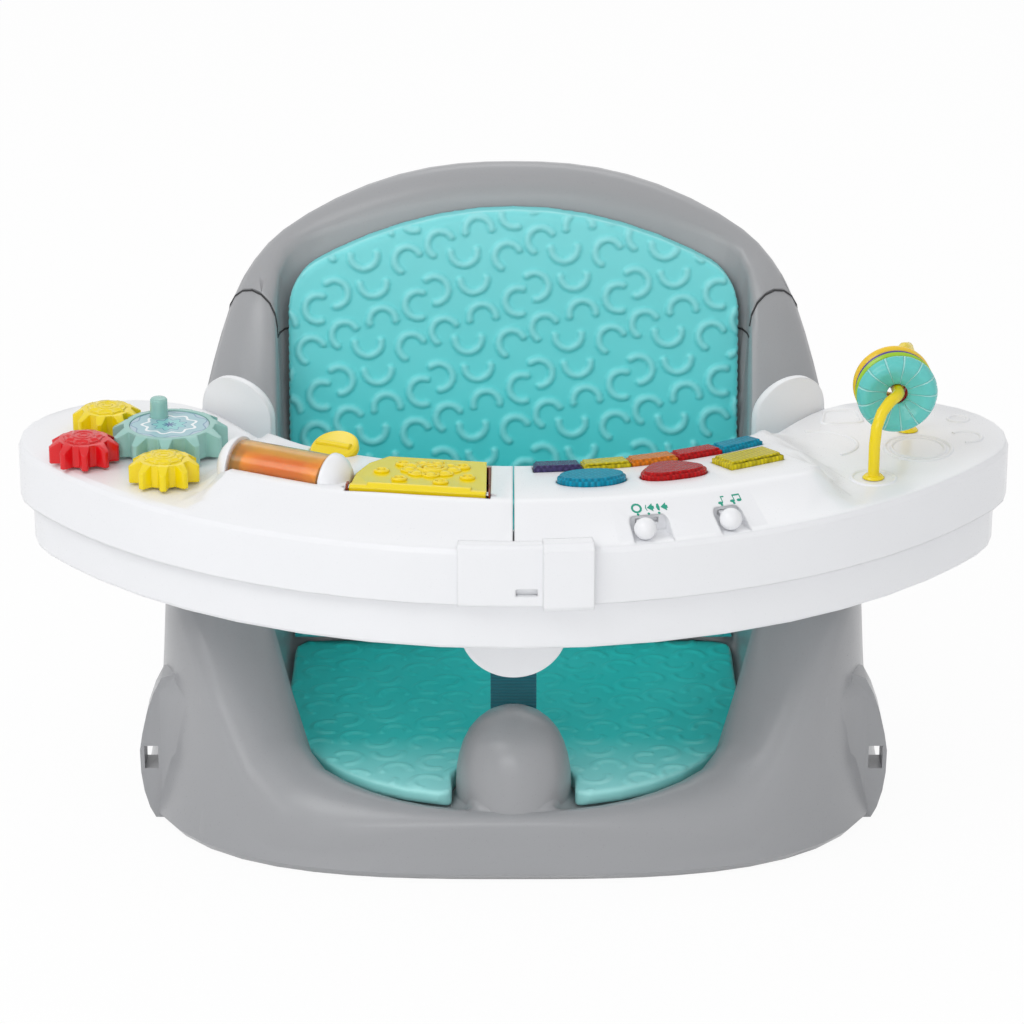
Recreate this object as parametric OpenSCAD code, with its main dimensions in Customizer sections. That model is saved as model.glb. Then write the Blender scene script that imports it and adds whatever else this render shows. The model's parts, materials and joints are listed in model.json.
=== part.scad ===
// Baby floor seat with a feeding tray and a two-part activity tray.
// X runs across the seat, -Y is the open front, Z is up and the floor is Z = 0.

/* [Seat] */
// Width of the seat shell at the floor
seat_w = 411; // [405:1:415]
// Seat centre to the front of the shell at the floor
front_depth = 160; // [158:1:163]
// Seat centre to the rear of the shell at the floor
rear_depth = 166; // [162:1:170]
// Height of the top of the backrest
back_h = 310; // [306:1:314]
// Height of the side arms under the tray
arm_h = 147.5; // [146:0.5:148]
// Height of the low front lip, where the legs go
lip_h = 36; // [35:1:38]
// Height of the moulded seat floor
floor_h = 32; // [30:1:33]
// Wall thickness of the seat shell
shell_t = 4; // [3.5:0.5:4]
// Height of the joint between the lower shell and the upper back
seam_h = 222; // [220:1:225]
// Height of the crotch post
post_h = 85; // [82:1:88]
// Radius of the crotch post
post_r = 31; // [30:0.5:32]

/* [Pads] */
// Thickness of the foam pads
pad_t = 10; // [8:1:11]
// Half width of the back pad
pad_half_w = 129.5; // [126:0.1:130]
// Height of the top of the back pad at the middle
pad_top = 290; // [285:1:292]

/* [Trays] */
// Outer radius of the toy tray, seen from above
toy_r = 312; // [311:0.5:312]
// Inner radius of the toy tray at the middle
toy_r_in = 208; // [206:1:210]
// Inner radius of the toy tray at its round ends
toy_r_end = 195; // [194:1:197]
// Outer radius of the feeding tray below it
feed_r = 307; // [305:1:308]
// Underside of the feeding tray
feed_z = 150.5; // [150:0.5:152]
// Joint between the feeding tray and the toy tray
tray_z = 176; // [175:1:177]
// Top of the toy tray's rim
rim_z = 208; // [206:1:210]
// Wall thickness of the tray mouldings
tray_t = 3; // [2.5:0.25:3]

/* [Gears] */
// Teeth on the big gear
big_teeth = 11; // [11:1:11]
// Teeth on each small gear
small_teeth = 9; // [9:1:9]
// Tip radius of the big gear
big_tip = 31; // [30.5:0.25:31]
// Tip radius of the small gears
small_tip = 18.7; // [18.5:0.1:18.8]
// Distance between the big gear and each small gear
gear_reach = 47.5; // [47.4:0.1:47.8]

/* [Toys] */
// Radius of the see-through roller
roller_r = 14; // [13:0.5:14]
// Length of the roller
roller_len = 53; // [50:1:54]
// Thickness of the bead wire
wire_d = 6.2; // [5.8:0.1:6.4]
// Radius of the toothed teal ring
ring_r = 21.5; // [20:0.5:22]

/* [Hidden] */
// Every sub-part, in the order of the bench layout
$fn = 48;

grey = "#8f8f92";
white = "#f2f2f3";
teal = "#18b5b0";
yellow = "#f2dc00";
red = "#e0242c";
sea_green = "#93c3ba";
steel = "#b8bcc0";

seat_y = 21;                       // seat centre, so that the whole part is centred on Y
arc_y = seat_y + 110;              // centre of the trays' arcs
side_n = 2.88;                     // roundness of the outer plan
well_n = [2.4, 16];                // roundness of the seat well, front and back
well_a = 131;                      // half width of the seat well
well_front = 145;                  // seat centre to the front of the well
well_back = 76;                    // seat centre to the back of the well, at the floor
lean = 0.2;                        // slope of the backrest
draft = [12, 21.7, 4];             // lean of the outer wall: front, sides, back
split_p = 124;                     // where the joint climbs over the rim
gap = 0.3;                         // clearance between pieces that touch
skirt_z = 0.5;                     // the shell hangs just clear of the floor on its feet

function smooth(t) = let (u = max(0, min(1, t))) u * u * (3 - 2 * u);
function mix(a, b, t) = a + (b - a) * t;

// ---- Seat shell: sections around the seat centre, angle p = 0 at the front ----

function super_r(p, a, b, n) =
    1 / pow(pow(abs(sin(p)) / a, n) + pow(abs(cos(p)) / b, n), 1 / n);
function base_r(p) = super_r(p, seat_w / 2, cos(p) > 0 ? front_depth : rear_depth, side_n);
function out_r(p, z) =
    let (side = pow(sin(p), 2))
    base_r(p) - mix(cos(p) > 0 ? draft[0] : draft[2], draft[1], side)
                * pow(max(0, z) / back_h, 0.486);

// The arms' inner walls flare outwards; the walls beside the back pad are nearly upright
function well_w(p, z) =
    let (q = 180 - abs(180 - abs(p)))
    well_a + (0.02 + 0.1 * (1 - smooth((q - 85) / 27))) * (z - floor_h);
function in_r(p, z) =
    cos(p) > 0 ? super_r(p, well_w(p, z), well_front, well_n[0])
               : super_r(p, well_w(p, z), well_back + lean * (z - floor_h), well_n[1]);

// Height of the rim: low lip at the front, arms at the sides, arch at the back
function rim_h(p) =
    let (q = 180 - abs(180 - abs(p)), u = max(0, (q - 98) / 82))
    lip_h + (arm_h - lip_h) * smooth((q - 38) / 32)
    + (back_h - arm_h) * (1 - pow(1 - u, 2.6)) * smooth(u / 0.35);

// Height at which the walls end and the rolled rim starts
function roll_h(p) =
    let (h = rim_h(p), t = out_r(p, h) - in_r(p, h)) h - min(22, t * 0.55);

function sp(p, rz) = [rz[0] * sin(p), seat_y - rz[0] * cos(p), rz[1]];

roll_steps = 8;

// Rolled rim between the outer wall's top and the inner wall's top, cut flat at cap
function roll_points(p, zo, zi, cap) =
    let (ro = out_r(p, zo), ri = in_r(p, zi), hr = rim_h(p) - roll_h(p))
    [for (k = [1 : roll_steps - 1])
        let (s = 180 * k / roll_steps, f = (1 - cos(s)) / 2)
        [mix(ro, ri, f), min(mix(zo, zi, f) + hr * sin(s), cap)]];

// Outer wall, rim, well wall and floor, then the underside back to the outer foot
function shell_section(p, cap) =
    let (
        zr = roll_h(p),
        zo = min(zr, cap),
        zi = max(min(zr, cap), floor_h),
        zf = min(floor_h + 10, zi),
        ceiling = min(rim_h(p), cap) - shell_t - 2,
        mid = (out_r(p, zo) + in_r(p, zi)) / 2,
        zu = min(floor_h + 8, ceiling - 0.4),
        rw = in_r(p, floor_h)
    )
    concat(
        [[base_r(p) - 4, skirt_z], [base_r(p), 5]],
        [for (k = [1 : 3]) let (z = mix(5, zo, k / 3)) [out_r(p, z), z]],
        roll_points(p, zo, zi, cap),
        [[in_r(p, zi), zi],
         for (k = [1 : 4]) let (z = mix(zi, zf, k / 5)) [in_r(p, z) - 0.3 * k, z],
         [in_r(p, zf) - 1.5, zf],
         [rw - 2.6, mix(floor_h, zf, 0.3)],
         [rw - 6, floor_h],
         [rw * 0.55, floor_h],
         [rw * 0.2, floor_h],
         [rw * 0.2, floor_h - shell_t],
         [rw * 0.55, floor_h - shell_t],
         [rw - 11, floor_h - shell_t],
         for (k = [0 : 5]) let (z = mix(zu, max(zu + 0.1, min(zi, ceiling - 0.2)), k / 5))
             [in_r(p, z) + shell_t - 1 + k / 5, z],
         [mid, ceiling],
         [out_r(p, zo) - shell_t, min(zo, ceiling - 0.5)],
         [base_r(p) - shell_t, 8],
         [base_r(p) - 4 - shell_t, skirt_z]]);

// Section angles, with a pair on each side of the joint over the rim
shell_angles = concat(
    [for (p = [-180 : 6 : -144]) p], [-139, -135, -132, -129, -126.5],
    [-split_p - 0.05, -split_p + 0.05], [-121.5, -119, -116, -112, -107, -101],
    [for (p = [-96 : 6 : 96]) p], [101, 107, 112, 116, 119, 121.5],
    [split_p - 0.05, split_p + 0.05], [126.5, 129, 132, 135, 139],
    [for (p = [144 : 6 : 174]) p]);

// A solid closed around the seat centre: each section is one closed loop
module ring_solid(angles, cap_of) {
    sections = [for (p = angles) shell_section(p, abs(p) > split_p ? cap_of : 1000)];
    n = len(sections[0]);
    m = len(angles);
    points = concat(
        [for (i = [0 : m - 1]) for (rz = sections[i]) sp(angles[i], rz)],
        [[0, seat_y, floor_h], [0, seat_y, floor_h - shell_t]]);
    polyhedron(points, concat(
        [for (i = [0 : m - 1]) for (k = [0 : n - 1])
            if (k != floor_edge)
            let (j = (i + 1) % m, l = (k + 1) % n)
            [i * n + k, i * n + l, j * n + l, j * n + k]],
        [for (i = [0 : m - 1]) let (j = (i + 1) % m)
            [i * n + floor_edge, m * n, j * n + floor_edge]],
        [for (i = [0 : m - 1]) let (j = (i + 1) % m)
            [i * n + floor_edge + 1, j * n + floor_edge + 1, m * n + 1]]),
        convexity = 6);
}
floor_edge = 2 + 3 + roll_steps - 1 + 9;   // index of the floor's innermost point

module side_ear(side) {
    // Flange on the front flank with the slot for a chair strap
    translate([0, ear_y + 9, 0]) rotate([90, 0, 0])
        linear_extrude(18)
            difference() {
                polygon([for (q = [[180, 1], [196.5, 1], [199.6, 7], [202.4, 17], [203.9, 28],
                                   [204.2, 41], [202.6, 51], [199.6, 64], [195.8, 75],
                                   [191.2, 84], [180, 88]])
                            [side * q[0], q[1]]]);
                translate([side * 198 - 3.8, 30.4]) square([7.6, 13.4]);
            }
}
ear_y = -50;

module tray_rail(side) {
    translate([side * 161, 0, 140]) {
        translate([-5, -40, 0]) cube([10, 90, feed_z - gap - 140]);
        for (y = [-40, 50]) translate([0, y, 0]) cylinder(feed_z - gap - 140, r = 5);
    }
}

module base_shell() {
    color(grey)
    difference() {
        union() {
            ring_solid(shell_angles, seam_h - gap);
            translate([0, post_y, 0])
                rotate_extrude()
                    polygon([[0, floor_h - 2], [post_r, floor_h - 2], [post_r, 42],
                             [post_r - 0.5, 50], [post_r - 1.7, 57], [post_r - 3.7, 64],
                             [post_r - 6.7, 70.5], [post_r - 10.5, 75.5],
                             [post_r - 15, 79.5], [post_r - 20, 82.3],
                             [post_r - 25.5, 84.2], [0, post_h]]);
            for (side = [-1, 1]) side_ear(side);
            // Rails that the tray rests over
            for (side = [-1, 1]) tray_rail(side);
            // Bosses that carry the feet
            for (q = foot_spots) translate([q[0], seat_y + q[1], 3])
                cylinder(floor_h - 5, r = 8);
        }
        // The post is hollow from below
        translate([0, post_y, 0])
            rotate_extrude()
                polygon([[0, floor_h - 6], [post_r - 4, floor_h - 6], [post_r - 4, 46],
                         [post_r - 7, 60], [post_r - 15, 72], [0, post_h - 5]]);
        // Slots for the crotch strap and the waist straps
        translate([-15, strap_y - 3, 0]) cube([30, 6, 60]);
        for (side = [-1, 1])
            translate([side * strap_x - 3, seat_y + 60, strap_z - 15]) cube([6, 60, 30]);
    }
}
strap_y = seat_y - 74;             // slot behind the crotch post
strap_x = 88;                      // waist strap slots in the backrest
strap_z = 118;

// Upper back: a hollow arch that stands on the lower shell
module back_shell_top() {
    lo = seam_h;
    t = 3;
    angles = [split_p + 0.2, 126.5, 129, 132, 135, 139, for (p = [144 : 6 : 216]) p,
              221, 225, 228, 231, 233.5, 359.8 - split_p];
    sections = [for (p = angles)
        let (
            zr = roll_h(p),
            outer = concat(
                [for (k = [0 : 2]) let (z = mix(lo, zr, k / 2)) [out_r(p, z), z]],
                roll_points(p, zr, zr, 1000),
                [for (k = [2 : -1 : 0]) let (z = mix(lo, zr, k / 2)) [in_r(p, z), z]]),
            n = len(outer))
        concat(outer, [for (k = [n - 1 : -1 : 0])
            let (mid = (outer[k][0] + outer[n - 1 - k][0]) / 2,
                 half = outer[k][0] - mid,
                 wall = abs(half) > t ? sign(half) * t : half * 0.8,
                 up = sin(180 * max(0, min(1, (k - 2) / (n - 5)))))
            [outer[k][0] - wall, outer[k][1] - t * up]])];
    n = len(sections[0]);
    m = len(angles);
    color(grey)
    polyhedron(
        [for (i = [0 : m - 1]) for (rz = sections[i]) sp(angles[i], rz)],
        concat(
            [for (i = [0 : m - 2]) for (k = [0 : n - 1]) let (l = (k + 1) % n)
                [i * n + k, i * n + l, (i + 1) * n + l, (i + 1) * n + k]],
            [for (k = [0 : n / 2 - 2]) [k, n - 1 - k, n - 2 - k, k + 1]],
            [for (k = [0 : n / 2 - 2])
                [for (q = [k, k + 1, n - 2 - k, n - 1 - k]) (m - 1) * n + q]]),
        convexity = 6);
}

// ---- Foam pads ----

post_y = seat_y - front_depth + post_r + 8;
notch_r = post_r + 2;              // clearance cut round the crotch post

// Outline of the seat pad, cut back round the crotch post
function pad_r(p) = in_r(p, floor_h + 6) - 5;

pad_angles = concat([for (p = [0 : 8 : 104]) p],
                    [110, 114, 117, 120, 123, 126, 130, 136],
                    [for (p = [144 : 12 : 216]) p],
                    [224, 230, 234, 237, 240, 243, 246, 250],
                    [for (p = [256 : 8 : 352]) p]);

module seat_pad() {
    lo = floor_h + gap;
    top = lo + pad_t;
    profile = [[-6, lo], [-2, lo + 1.5], [0, lo + 4], [0, top - 1.2], [-1, top - 0.2]];
    m = len(pad_angles);
    k = len(profile);
    points = concat(
        [for (rz = profile) for (p = pad_angles) sp(p, [pad_r(p) + rz[0], rz[1]])],
        [for (p = pad_angles) sp(p, [pad_r(p) * 0.6, top + 0.8])],
        [[0, seat_y, lo], [0, seat_y, top + 1.2]]);
    color(teal)
    difference() {
        polyhedron(points, concat(
            [for (i = [0 : k - 1]) for (j = [0 : m - 1]) let (l = (j + 1) % m)
                [i * m + j, (i + 1) * m + j, (i + 1) * m + l, i * m + l]],
            [for (j = [0 : m - 1]) [j, (j + 1) % m, (k + 1) * m]],
            [for (j = [0 : m - 1]) [k * m + (j + 1) % m, k * m + j, (k + 1) * m + 1]]),
            convexity = 6);
        translate([-15, strap_y - 3, 0]) cube([30, 6, 60]);
        // Cut-out round the crotch post, with soft corners at its mouth
        translate([0, post_y, 0]) cylinder(60, r = notch_r);
        linear_extrude(60)
            polygon([for (side = [-1, 1]) for (q = side < 0
                    ? [[0, 10], [1, 0], [1, 11], [1.04, 13], [1.14, 14.6], [1.3, 15.6], [1.3, 60]]
                    : [[1.3, 60], [1.3, 15.6], [1.14, 14.6], [1.04, 13], [1, 11], [1, 0]])
                [side * q[0] * notch_r, post_y - q[1]]]);
    }
}

// Top edge of the back pad: a shallow arch with round corners
function back_pad_top(x) =
    let (over = max(0, abs(x) - pad_half_w + 16) / 16)
    pad_top - 0.0023 * x * x - 17 * (1 - sqrt(max(0, 1 - over * over)));

back_cols = [-1, -0.985, -0.965, -0.94, -0.91, -0.875, -0.8, -0.66, -0.5, -0.33, -0.165, 0,
             0.165, 0.33, 0.5, 0.66, 0.8, 0.875, 0.91, 0.94, 0.965, 0.985, 1];
back_rows = [0, 0.015, 0.15, 0.32, 0.5, 0.68, 0.84, 0.94, 0.985, 1];

// Depth of the pad's back face at x, from the seat centre: it keeps clear of the wall
function wall_y(x, z) =
    let (b = well_back + lean * (z - floor_h) - 2, w = well_a + 0.02 * (z - floor_h) - 0.9)
    b * pow(1 - pow(min(1, abs(x) / w), 12), 1 / 12);

module back_pad() {
    lo = floor_h + pad_t + 4;
    nc = len(back_cols);
    nr = len(back_rows);
    // Flat front face; the back face follows the wall, so the pad thins towards its sides
    function grid(i, j, front) =
        let (x = back_cols[i] * (pad_half_w - (front ? 0 : 4.6)
                                 - 2 * (1 - smooth(back_rows[j] / 0.32))),
             z = mix(lo, back_pad_top(x), back_rows[j]),
             deep = well_back + lean * (z - floor_h) - 2,
             rim = i == 0 || i == nc - 1 || j == 0 || j == nr - 1)
        [x, seat_y + (front ? deep - pad_t + (rim ? 1 : 0)
                      : wall_y(x, z)), z];
    points = [for (front = [false, true]) for (i = [0 : nc - 1]) for (j = [0 : nr - 1])
        grid(i, j, front)];
    f = nc * nr;
    color(teal)
    difference() {
        polyhedron(points, concat(
            [for (i = [0 : nc - 2]) for (j = [0 : nr - 2]) let (a = i * nr + j)
                [a, a + nr, a + nr + 1, a + 1]],
            [for (i = [0 : nc - 2]) for (j = [0 : nr - 2]) let (a = f + i * nr + j)
                [a, a + 1, a + nr + 1, a + nr]],
            [for (i = [0 : nc - 2]) let (a = i * nr) [a, f + a, f + a + nr, a + nr]],
            [for (i = [0 : nc - 2]) let (a = i * nr + nr - 1)
                [a, a + nr, f + a + nr, f + a]],
            [for (j = [0 : nr - 2]) [j, j + 1, f + j + 1, f + j]],
            [for (j = [0 : nr - 2]) let (a = (nc - 1) * nr + j)
                [a, f + a, f + a + 1, a + 1]]), convexity = 6);
        for (side = [-1, 1])
            translate([side * strap_x - 3, seat_y + 40, strap_z - 15]) cube([6, 80, 30]);
    }
}

foot_spots = [[-88, -82], [88, -82], [-88, 44], [88, 44]];

module floor_feet() {
    color("#3a3a3c")
    for (q = foot_spots) translate([q[0], seat_y + q[1], 0]) cylinder(3, r = 9);
}

// ---- Harness ----

web_t = 1.6;                       // thickness of the webbing
web_w = 25;                        // width of the webbing
buckle_z = 104;

module ribbon(path, w) {
    // Strap of even thickness that follows a plan path, extruded over its width
    n = len(path);
    function along(i) = let (d = path[min(n - 1, i + 1)] - path[max(0, i - 1)]) d / norm(d);
    function side(i, s) = path[i] + s * web_t / 2 * [-along(i)[1], along(i)[0]];
    linear_extrude(w)
        polygon(concat([for (i = [0 : n - 1]) side(i, 1)],
                       [for (i = [n - 1 : -1 : 0]) side(i, -1)]));
}

module crotch_strap() {
    // Rises from a slot behind the post to the buckle
    color("#0f6f80")
    translate([-web_w / 2, 0, 0]) rotate([90, 0, 90])
        ribbon([[strap_y, 20], [strap_y, 50], [strap_y - 2, 72], [strap_y - 2.5, 90],
                [strap_y, buckle_z]], web_w);
}

module waist_strap(side) {
    // From a slot in the backrest round the lap to the buckle
    color("#0f6f80")
    translate([0, 0, strap_z - web_w / 2])
        ribbon([for (q = [[88, 113], [88, 92], [89, 60], [84, 20], [70, -15], [48, -40],
                          [22.4, -52]]) [side * q[0], q[1]]], web_w);
}

module buckle() {
    color("#e9e9ea")
    translate([0, strap_y + 6, 0]) rotate([90, 0, 0])
        linear_extrude(12)
            translate([-18, buckle_z + 4]) offset(4) square([36, 22]);
}

// ---- Trays: outlines around the arc centre ----

end_p = 55.9;                      // angle of the toy tray's round ends
feed_p = 54.7;                     // angle of the feeding tray's round ends
end_steps = 13;

function pol(r, p) = [r * sin(p), arc_y - r * cos(p)];

// Outer arc, round end and inner arc of the right half, counter-clockwise
function half_ring(angles, r_out, r_in, r_end, d) =
    let (n = len(angles), last = angles[n - 1], c = pol((r_out + r_end) / 2, last),
         rr = (r_out - r_end) / 2 - d)
    concat(
        [for (p = angles) pol(r_out - d, p)],
        [for (k = [1 : end_steps - 1]) let (a = last - 90 + 180 * k / end_steps)
            c + rr * [cos(a), sin(a)]],
        [for (k = [n - 1 : -1 : 0]) let (p = angles[k])
            pol(mix(r_in, r_end, smooth((p - 30) / 24)) + d, p)]);

// Both halves, starting at the tip of the left end
function full_ring(angles, r_out, r_in, r_end, d) =
    let (h = half_ring(angles, r_out, r_in, r_end, d), n = len(h))
    concat([for (i = [n / 2 - 1 : -1 : 1]) [-h[i][0], h[i][1]]], h,
           [for (i = [n - 2 : -1 : n / 2]) [-h[i][0], h[i][1]]]);

// Solid through rings of equal count. Both ends are closed by strips across from the outer
// to the inner edge, over rows of fill points; a row of fill stands on the wall at the seam.
module ring_loft(rings, fills, seam = []) {
    n = len(rings[0]);
    m = len(rings);
    h = n / 2;
    f = len(fills[0][0]);
    points = concat([for (r = rings) for (q = r) q],
                    [for (e = fills) for (s = e) for (q = s) q], seam);
    // Point j of row i, counted from the outer edge, at the first or the last end
    function at(e, i, j) =
        j == 0 ? e * (m - 1) * n + i
        : j == f + 1 ? e * (m - 1) * n + n - 1 - i
        : m * n + e * (h - 1) * f + i * f + j - 1;
    function turned(e, face) = e == 0 ? face : [for (k = [len(face) - 1 : -1 : 0]) face[k]];
    polyhedron(points, concat(
        [for (i = [0 : m - 2]) for (j = [0 : n - 1]) let (l = (j + 1) % n)
            [i * n + j, (i + 1) * n + j, (i + 1) * n + l, i * n + l]],
        [for (e = [0, 1]) for (i = [0 : h - 3]) for (j = [0 : f])
            turned(e, [at(e, i, j), at(e, i + 1, j), at(e, i + 1, j + 1), at(e, i, j + 1)])],
        [for (e = [0, 1]) for (j = [0 : f])
            turned(e, [at(e, h - 1, 0), at(e, h - 2, j + 1), at(e, h - 2, j)])],
        [for (e = [0, 1])
            turned(e, [at(e, h - 1, 0), at(e, h - 1, f + 1), at(e, h - 2, f + 1)])],
        [for (e = [0 : len(seam) - 1]) for (j = [0 : f + 1]) if (len(seam) > 0)
            turned(e, [len(points) - 2 + e, at(e, 0, j), at(e, 0, (j + 1) % (f + 2))])]),
        convexity = 8);
}

function at_z(ring, z) = [for (q = ring) [q[0], q[1], z]];
function no_fill(ring) = [for (e = [0, 1]) [for (i = [0 : len(ring) / 2 - 2]) []]];

module on_arc(r, p, z = 0) {
    q = pol(r, p);
    translate([q[0], q[1], z]) rotate([0, 0, p]) children();
}

// ---- Feeding tray ----

feed_in = toy_r_in - 5;
feed_end = toy_r_end - 5;
feed_angles = [0, 7, 14, 21, 28, 34, 40, 46, 51, feed_p];
feed_floor = 166;
function feed(d, z) = at_z(full_ring(feed_angles, feed_r, feed_in, feed_end, d), z);

module feeding_tray() {
    color(white)
    difference() {
        union() {
            ring_loft([feed(tray_t, feed_floor - tray_t), feed(tray_t, feed_z),
                       feed(1, feed_z), feed(0, feed_z + 1.5), feed(0, tray_z - 1),
                       feed(0.8, tray_z), feed(tray_t, tray_z), feed(tray_t, feed_floor)],
                      no_fill(feed(0, 0)));
            // Hinge cheeks of the release tab, under the floor
            for (side = [-1, 1])
                on_arc(tab_r, 0) translate([side * 19 - 2, -5, tab_axis_z - 4])
                    cube([4, 10, feed_floor - tray_t + 1 - tab_axis_z + 4]);
        }
        on_arc(tab_r, 0, tab_axis_z) rotate([0, 90, 0]) cylinder(60, r = 1.6, center = true);
    }
}
tab_r = 282;                       // arc radius of the release tab's hinge
tab_axis_z = 157;

module tray_grip(side) {
    // Upright rounded plate, bowed, standing against the tray's rear corner on a narrow foot
    color(white)
    difference() {
        translate([side * grip_at[0], grip_at[1], 0]) rotate([0, 0, side * grip_turn])
            intersection() {
                translate([0, grip_bow, feed_z])
                    rotate([0, 0, -90 - 30])
                        rotate_extrude(angle = 60, $fn = 96)
                            translate([grip_bow - 4.6, 0]) square([4.6, 90]);
                translate([0, 40, 0]) rotate([90, 0, 0])
                    linear_extrude(80)
                        polygon([for (q = concat(
                            [[-22.5, 188], [-8, feed_z + 6], [-2, feed_z + 1],
                             [20, feed_z + 1], [22.5, feed_z + 4]],
                            [for (a = [0 : 7.5 : 180])
                                [22.5 * cos(a), grip_z + 22.5 * sin(a)]]))
                            [side * q[0], q[1]]]);
            }
        translate([0, 0, feed_z - 1]) linear_extrude(tray_z - feed_z + 1.4)
            polygon(full_ring(feed_angles, feed_r, feed_in, feed_end, -0.05));
    }
}
grip_at = [155, 21.5];             // middle of the grip's front face
grip_turn = 30;
grip_bow = 60;                     // radius of its bow
grip_z = 206;                      // centre of its round top

module release_tab() {
    color(white)
    on_arc(tab_r, 0)
    difference() {
        union() {
            // Half-round paddle below the tray
            translate([0, 2, tab_axis_z - 2]) rotate([90, 0, 0])
                linear_extrude(4)
                    intersection() {
                        translate([0, -2]) circle(28);
                        translate([-30, -60]) square([60, 60]);
                    }
            translate([0, 0, tab_axis_z]) rotate([0, 90, 0]) cylinder(33, r = 3.6, center = true);
        }
        translate([0, 0, tab_axis_z]) rotate([0, 90, 0]) cylinder(60, r = 1.6, center = true);
        for (side = [-1, 1])
            translate([side * 19.25 - 2.75, -8, tab_axis_z - 6]) cube([5.5, 16, 12]);
        translate([-30, -8, tab_axis_z + 3.2]) cube([60, 16, 12]);
        for (side = [-1, 1])
            translate([side * 26 - 6, -8, tab_axis_z - 4]) cube([12, 16, 14]);
    }
}

module tab_pin() {
    color(steel)
    on_arc(tab_r, 0, tab_axis_z) rotate([0, 90, 0]) cylinder(42, r = 1.55, center = true);
}

// ---- Toy trays ----

cut_p = 0.08;                      // the two halves meet in the middle
toy_angles = [1.4, 5, 10, 15, 20, 25, 29, 32, 33.5, 35, 36.5, 38, 39.5, 41, 43, 46, 49.5,
              53, end_p];
crest_r = 277;                     // arc radius of the console's highest line
crest_up = 14;                     // height of that line over the rim
inner_up = 7;                      // height of the console's inner edge over the rim
slope_r = 307.6;                   // arc radius where the console's front slope starts
fill_at = [0.12, 0.236, 0.27, 0.31, 0.6, 0.88];

// Height of the console over the rim, on the slope, over the crest and down to the child
function console_up(r) =
    r > slope_r ? 0
    : r > crest_r + 7 ? (crest_up - 1) * (slope_r - r) / (slope_r - crest_r - 7)
    : r > crest_r ? crest_up - pow((r - crest_r) / 7, 2)
    : mix(inner_up, crest_up, (r - toy_r_in - 4) / (crest_r - toy_r_in - 4));

// The console's share of that height fades out in a ramp at its end
function console_share(r, p, end) = smooth((end - 0.095 * (r - 216) - p) / 3.4);

function toy_ring(d, z, first_p, lift, end) =
    let (a = concat([first_p], toy_angles), n = len(a),
         ring = half_ring(a, toy_r, toy_r_in, toy_r_end, d), total = len(ring))
    [for (i = [0 : total - 1])
        let (k = total - 1 - i)
        [ring[i][0], ring[i][1],
         z + (k < n ? lift * inner_up * console_share(toy_r_in, a[k], end) : 0)]];

// Points across the top between the outer and the inner edge
function toy_fill(ring, end, down) =
    let (n = len(ring))
    [for (i = [0 : n / 2 - 2])
        [for (f = fill_at)
            let (a = ring[i], b = ring[n - 1 - i], x = mix(a[0], b[0], f),
                 y = mix(a[1], b[1], f), r = norm([x, y - arc_y]), p = atan2(x, arc_y - y),
                 share = i < len(toy_angles) + 1 ? console_share(r, p, end) : 0)
            [x, y, rim_z - down + share * console_up(r)]]];

module toy_housing(end) {
    flat = toy_r - slope_r;
    inner = toy_ring(flat, rim_z - tray_t, 0.7, 1, end);
    top = toy_ring(flat, rim_z, cut_p, 1, end);
    ring_loft([inner, toy_ring(tray_t, rim_z - tray_t, 0.7, 1, end),
               toy_ring(tray_t, tray_z + 0.4, 0.7, 0, end),
               toy_ring(0, tray_z + 0.4, cut_p, 0, end),
               toy_ring(0, rim_z - 4, cut_p, 1, end),
               toy_ring(1.2, rim_z - 1.2, cut_p, 1, end),
               toy_ring(4, rim_z, cut_p, 1, end), top],
              [toy_fill(inner, end, tray_t), toy_fill(top, end, 0)],
              [for (q = [[0.7, rim_z + 6 - tray_t], [cut_p, rim_z + 6]])
                  [pol(262, q[0])[0], pol(262, q[0])[1], q[1]]]);
}

module toy_cover() {
    ring_loft([toy_ring(tray_t + 0.3, tray_z + 1, 0.8, 0, 0),
               toy_ring(tray_t + 0.3, tray_z + 3.5, 0.8, 0, 0)],
              no_fill(toy_ring(0, 0, 0, 0, 0)));
}

// ---- Gear side ----

big_xy = [-184, -39];              // centre of the big gear
small_dirs = [140, 201, 271];      // directions from it to the back, left and front gears
gear_z = 209.6;
big_phase = 8;
function small_xy(k) = big_xy + gear_reach * [cos(small_dirs[k]), sin(small_dirs[k])];
// A small gear's turn that puts its gap against the big gear's tooth
function small_phase(k) =
    small_dirs[k] + 180 + (180 - big_teeth * (big_phase - small_dirs[k])) / small_teeth;

module toothed(teeth, root, tip, half_root, half_tip, h) {
    // Straight-sided teeth whose top edges are bevelled by a cone
    intersection() {
        linear_extrude(h)
            union() {
                circle(root);
                for (k = [0 : teeth - 1]) rotate(360 * k / teeth)
                    polygon([[root - 3, -half_root - 0.6], [root + 0.4, -half_root],
                             [tip - 0.5, -half_tip], [tip, -half_tip + 0.7],
                             [tip, half_tip - 0.7], [tip - 0.5, half_tip],
                             [root + 0.4, half_root], [root - 3, half_root + 0.6]]);
            }
        rotate_extrude()
            polygon([[0, 0], [tip + 1, 0], [tip + 1, h - 4], [root + 0.5, h], [0, h]]);
    }
}

module big_gear() {
    color(sea_green)
    translate([big_xy[0], big_xy[1], gear_z]) rotate(big_phase)
        difference() {
            toothed(big_teeth, 24.4, big_tip, 3.6, 1.8, 14);
            translate([0, 0, -1]) cylinder(12, r = 4.05);
            translate([0, 0, 12.6]) cylinder(3, r = 21.4);
            // Hollow underside
            difference() {
                translate([0, 0, -1]) cylinder(9, r = 21);
                translate([0, 0, -2]) cylinder(20, r = 7);
            }
        }
}

module gear_disc() {
    color("#9fb6cc")
    translate([big_xy[0], big_xy[1], gear_z + 12.6])
        difference() {
            cylinder(1, r = 21.2);
            translate([-6.6, 13, -1]) cylinder(3, r = 5);
        }
}

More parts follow.
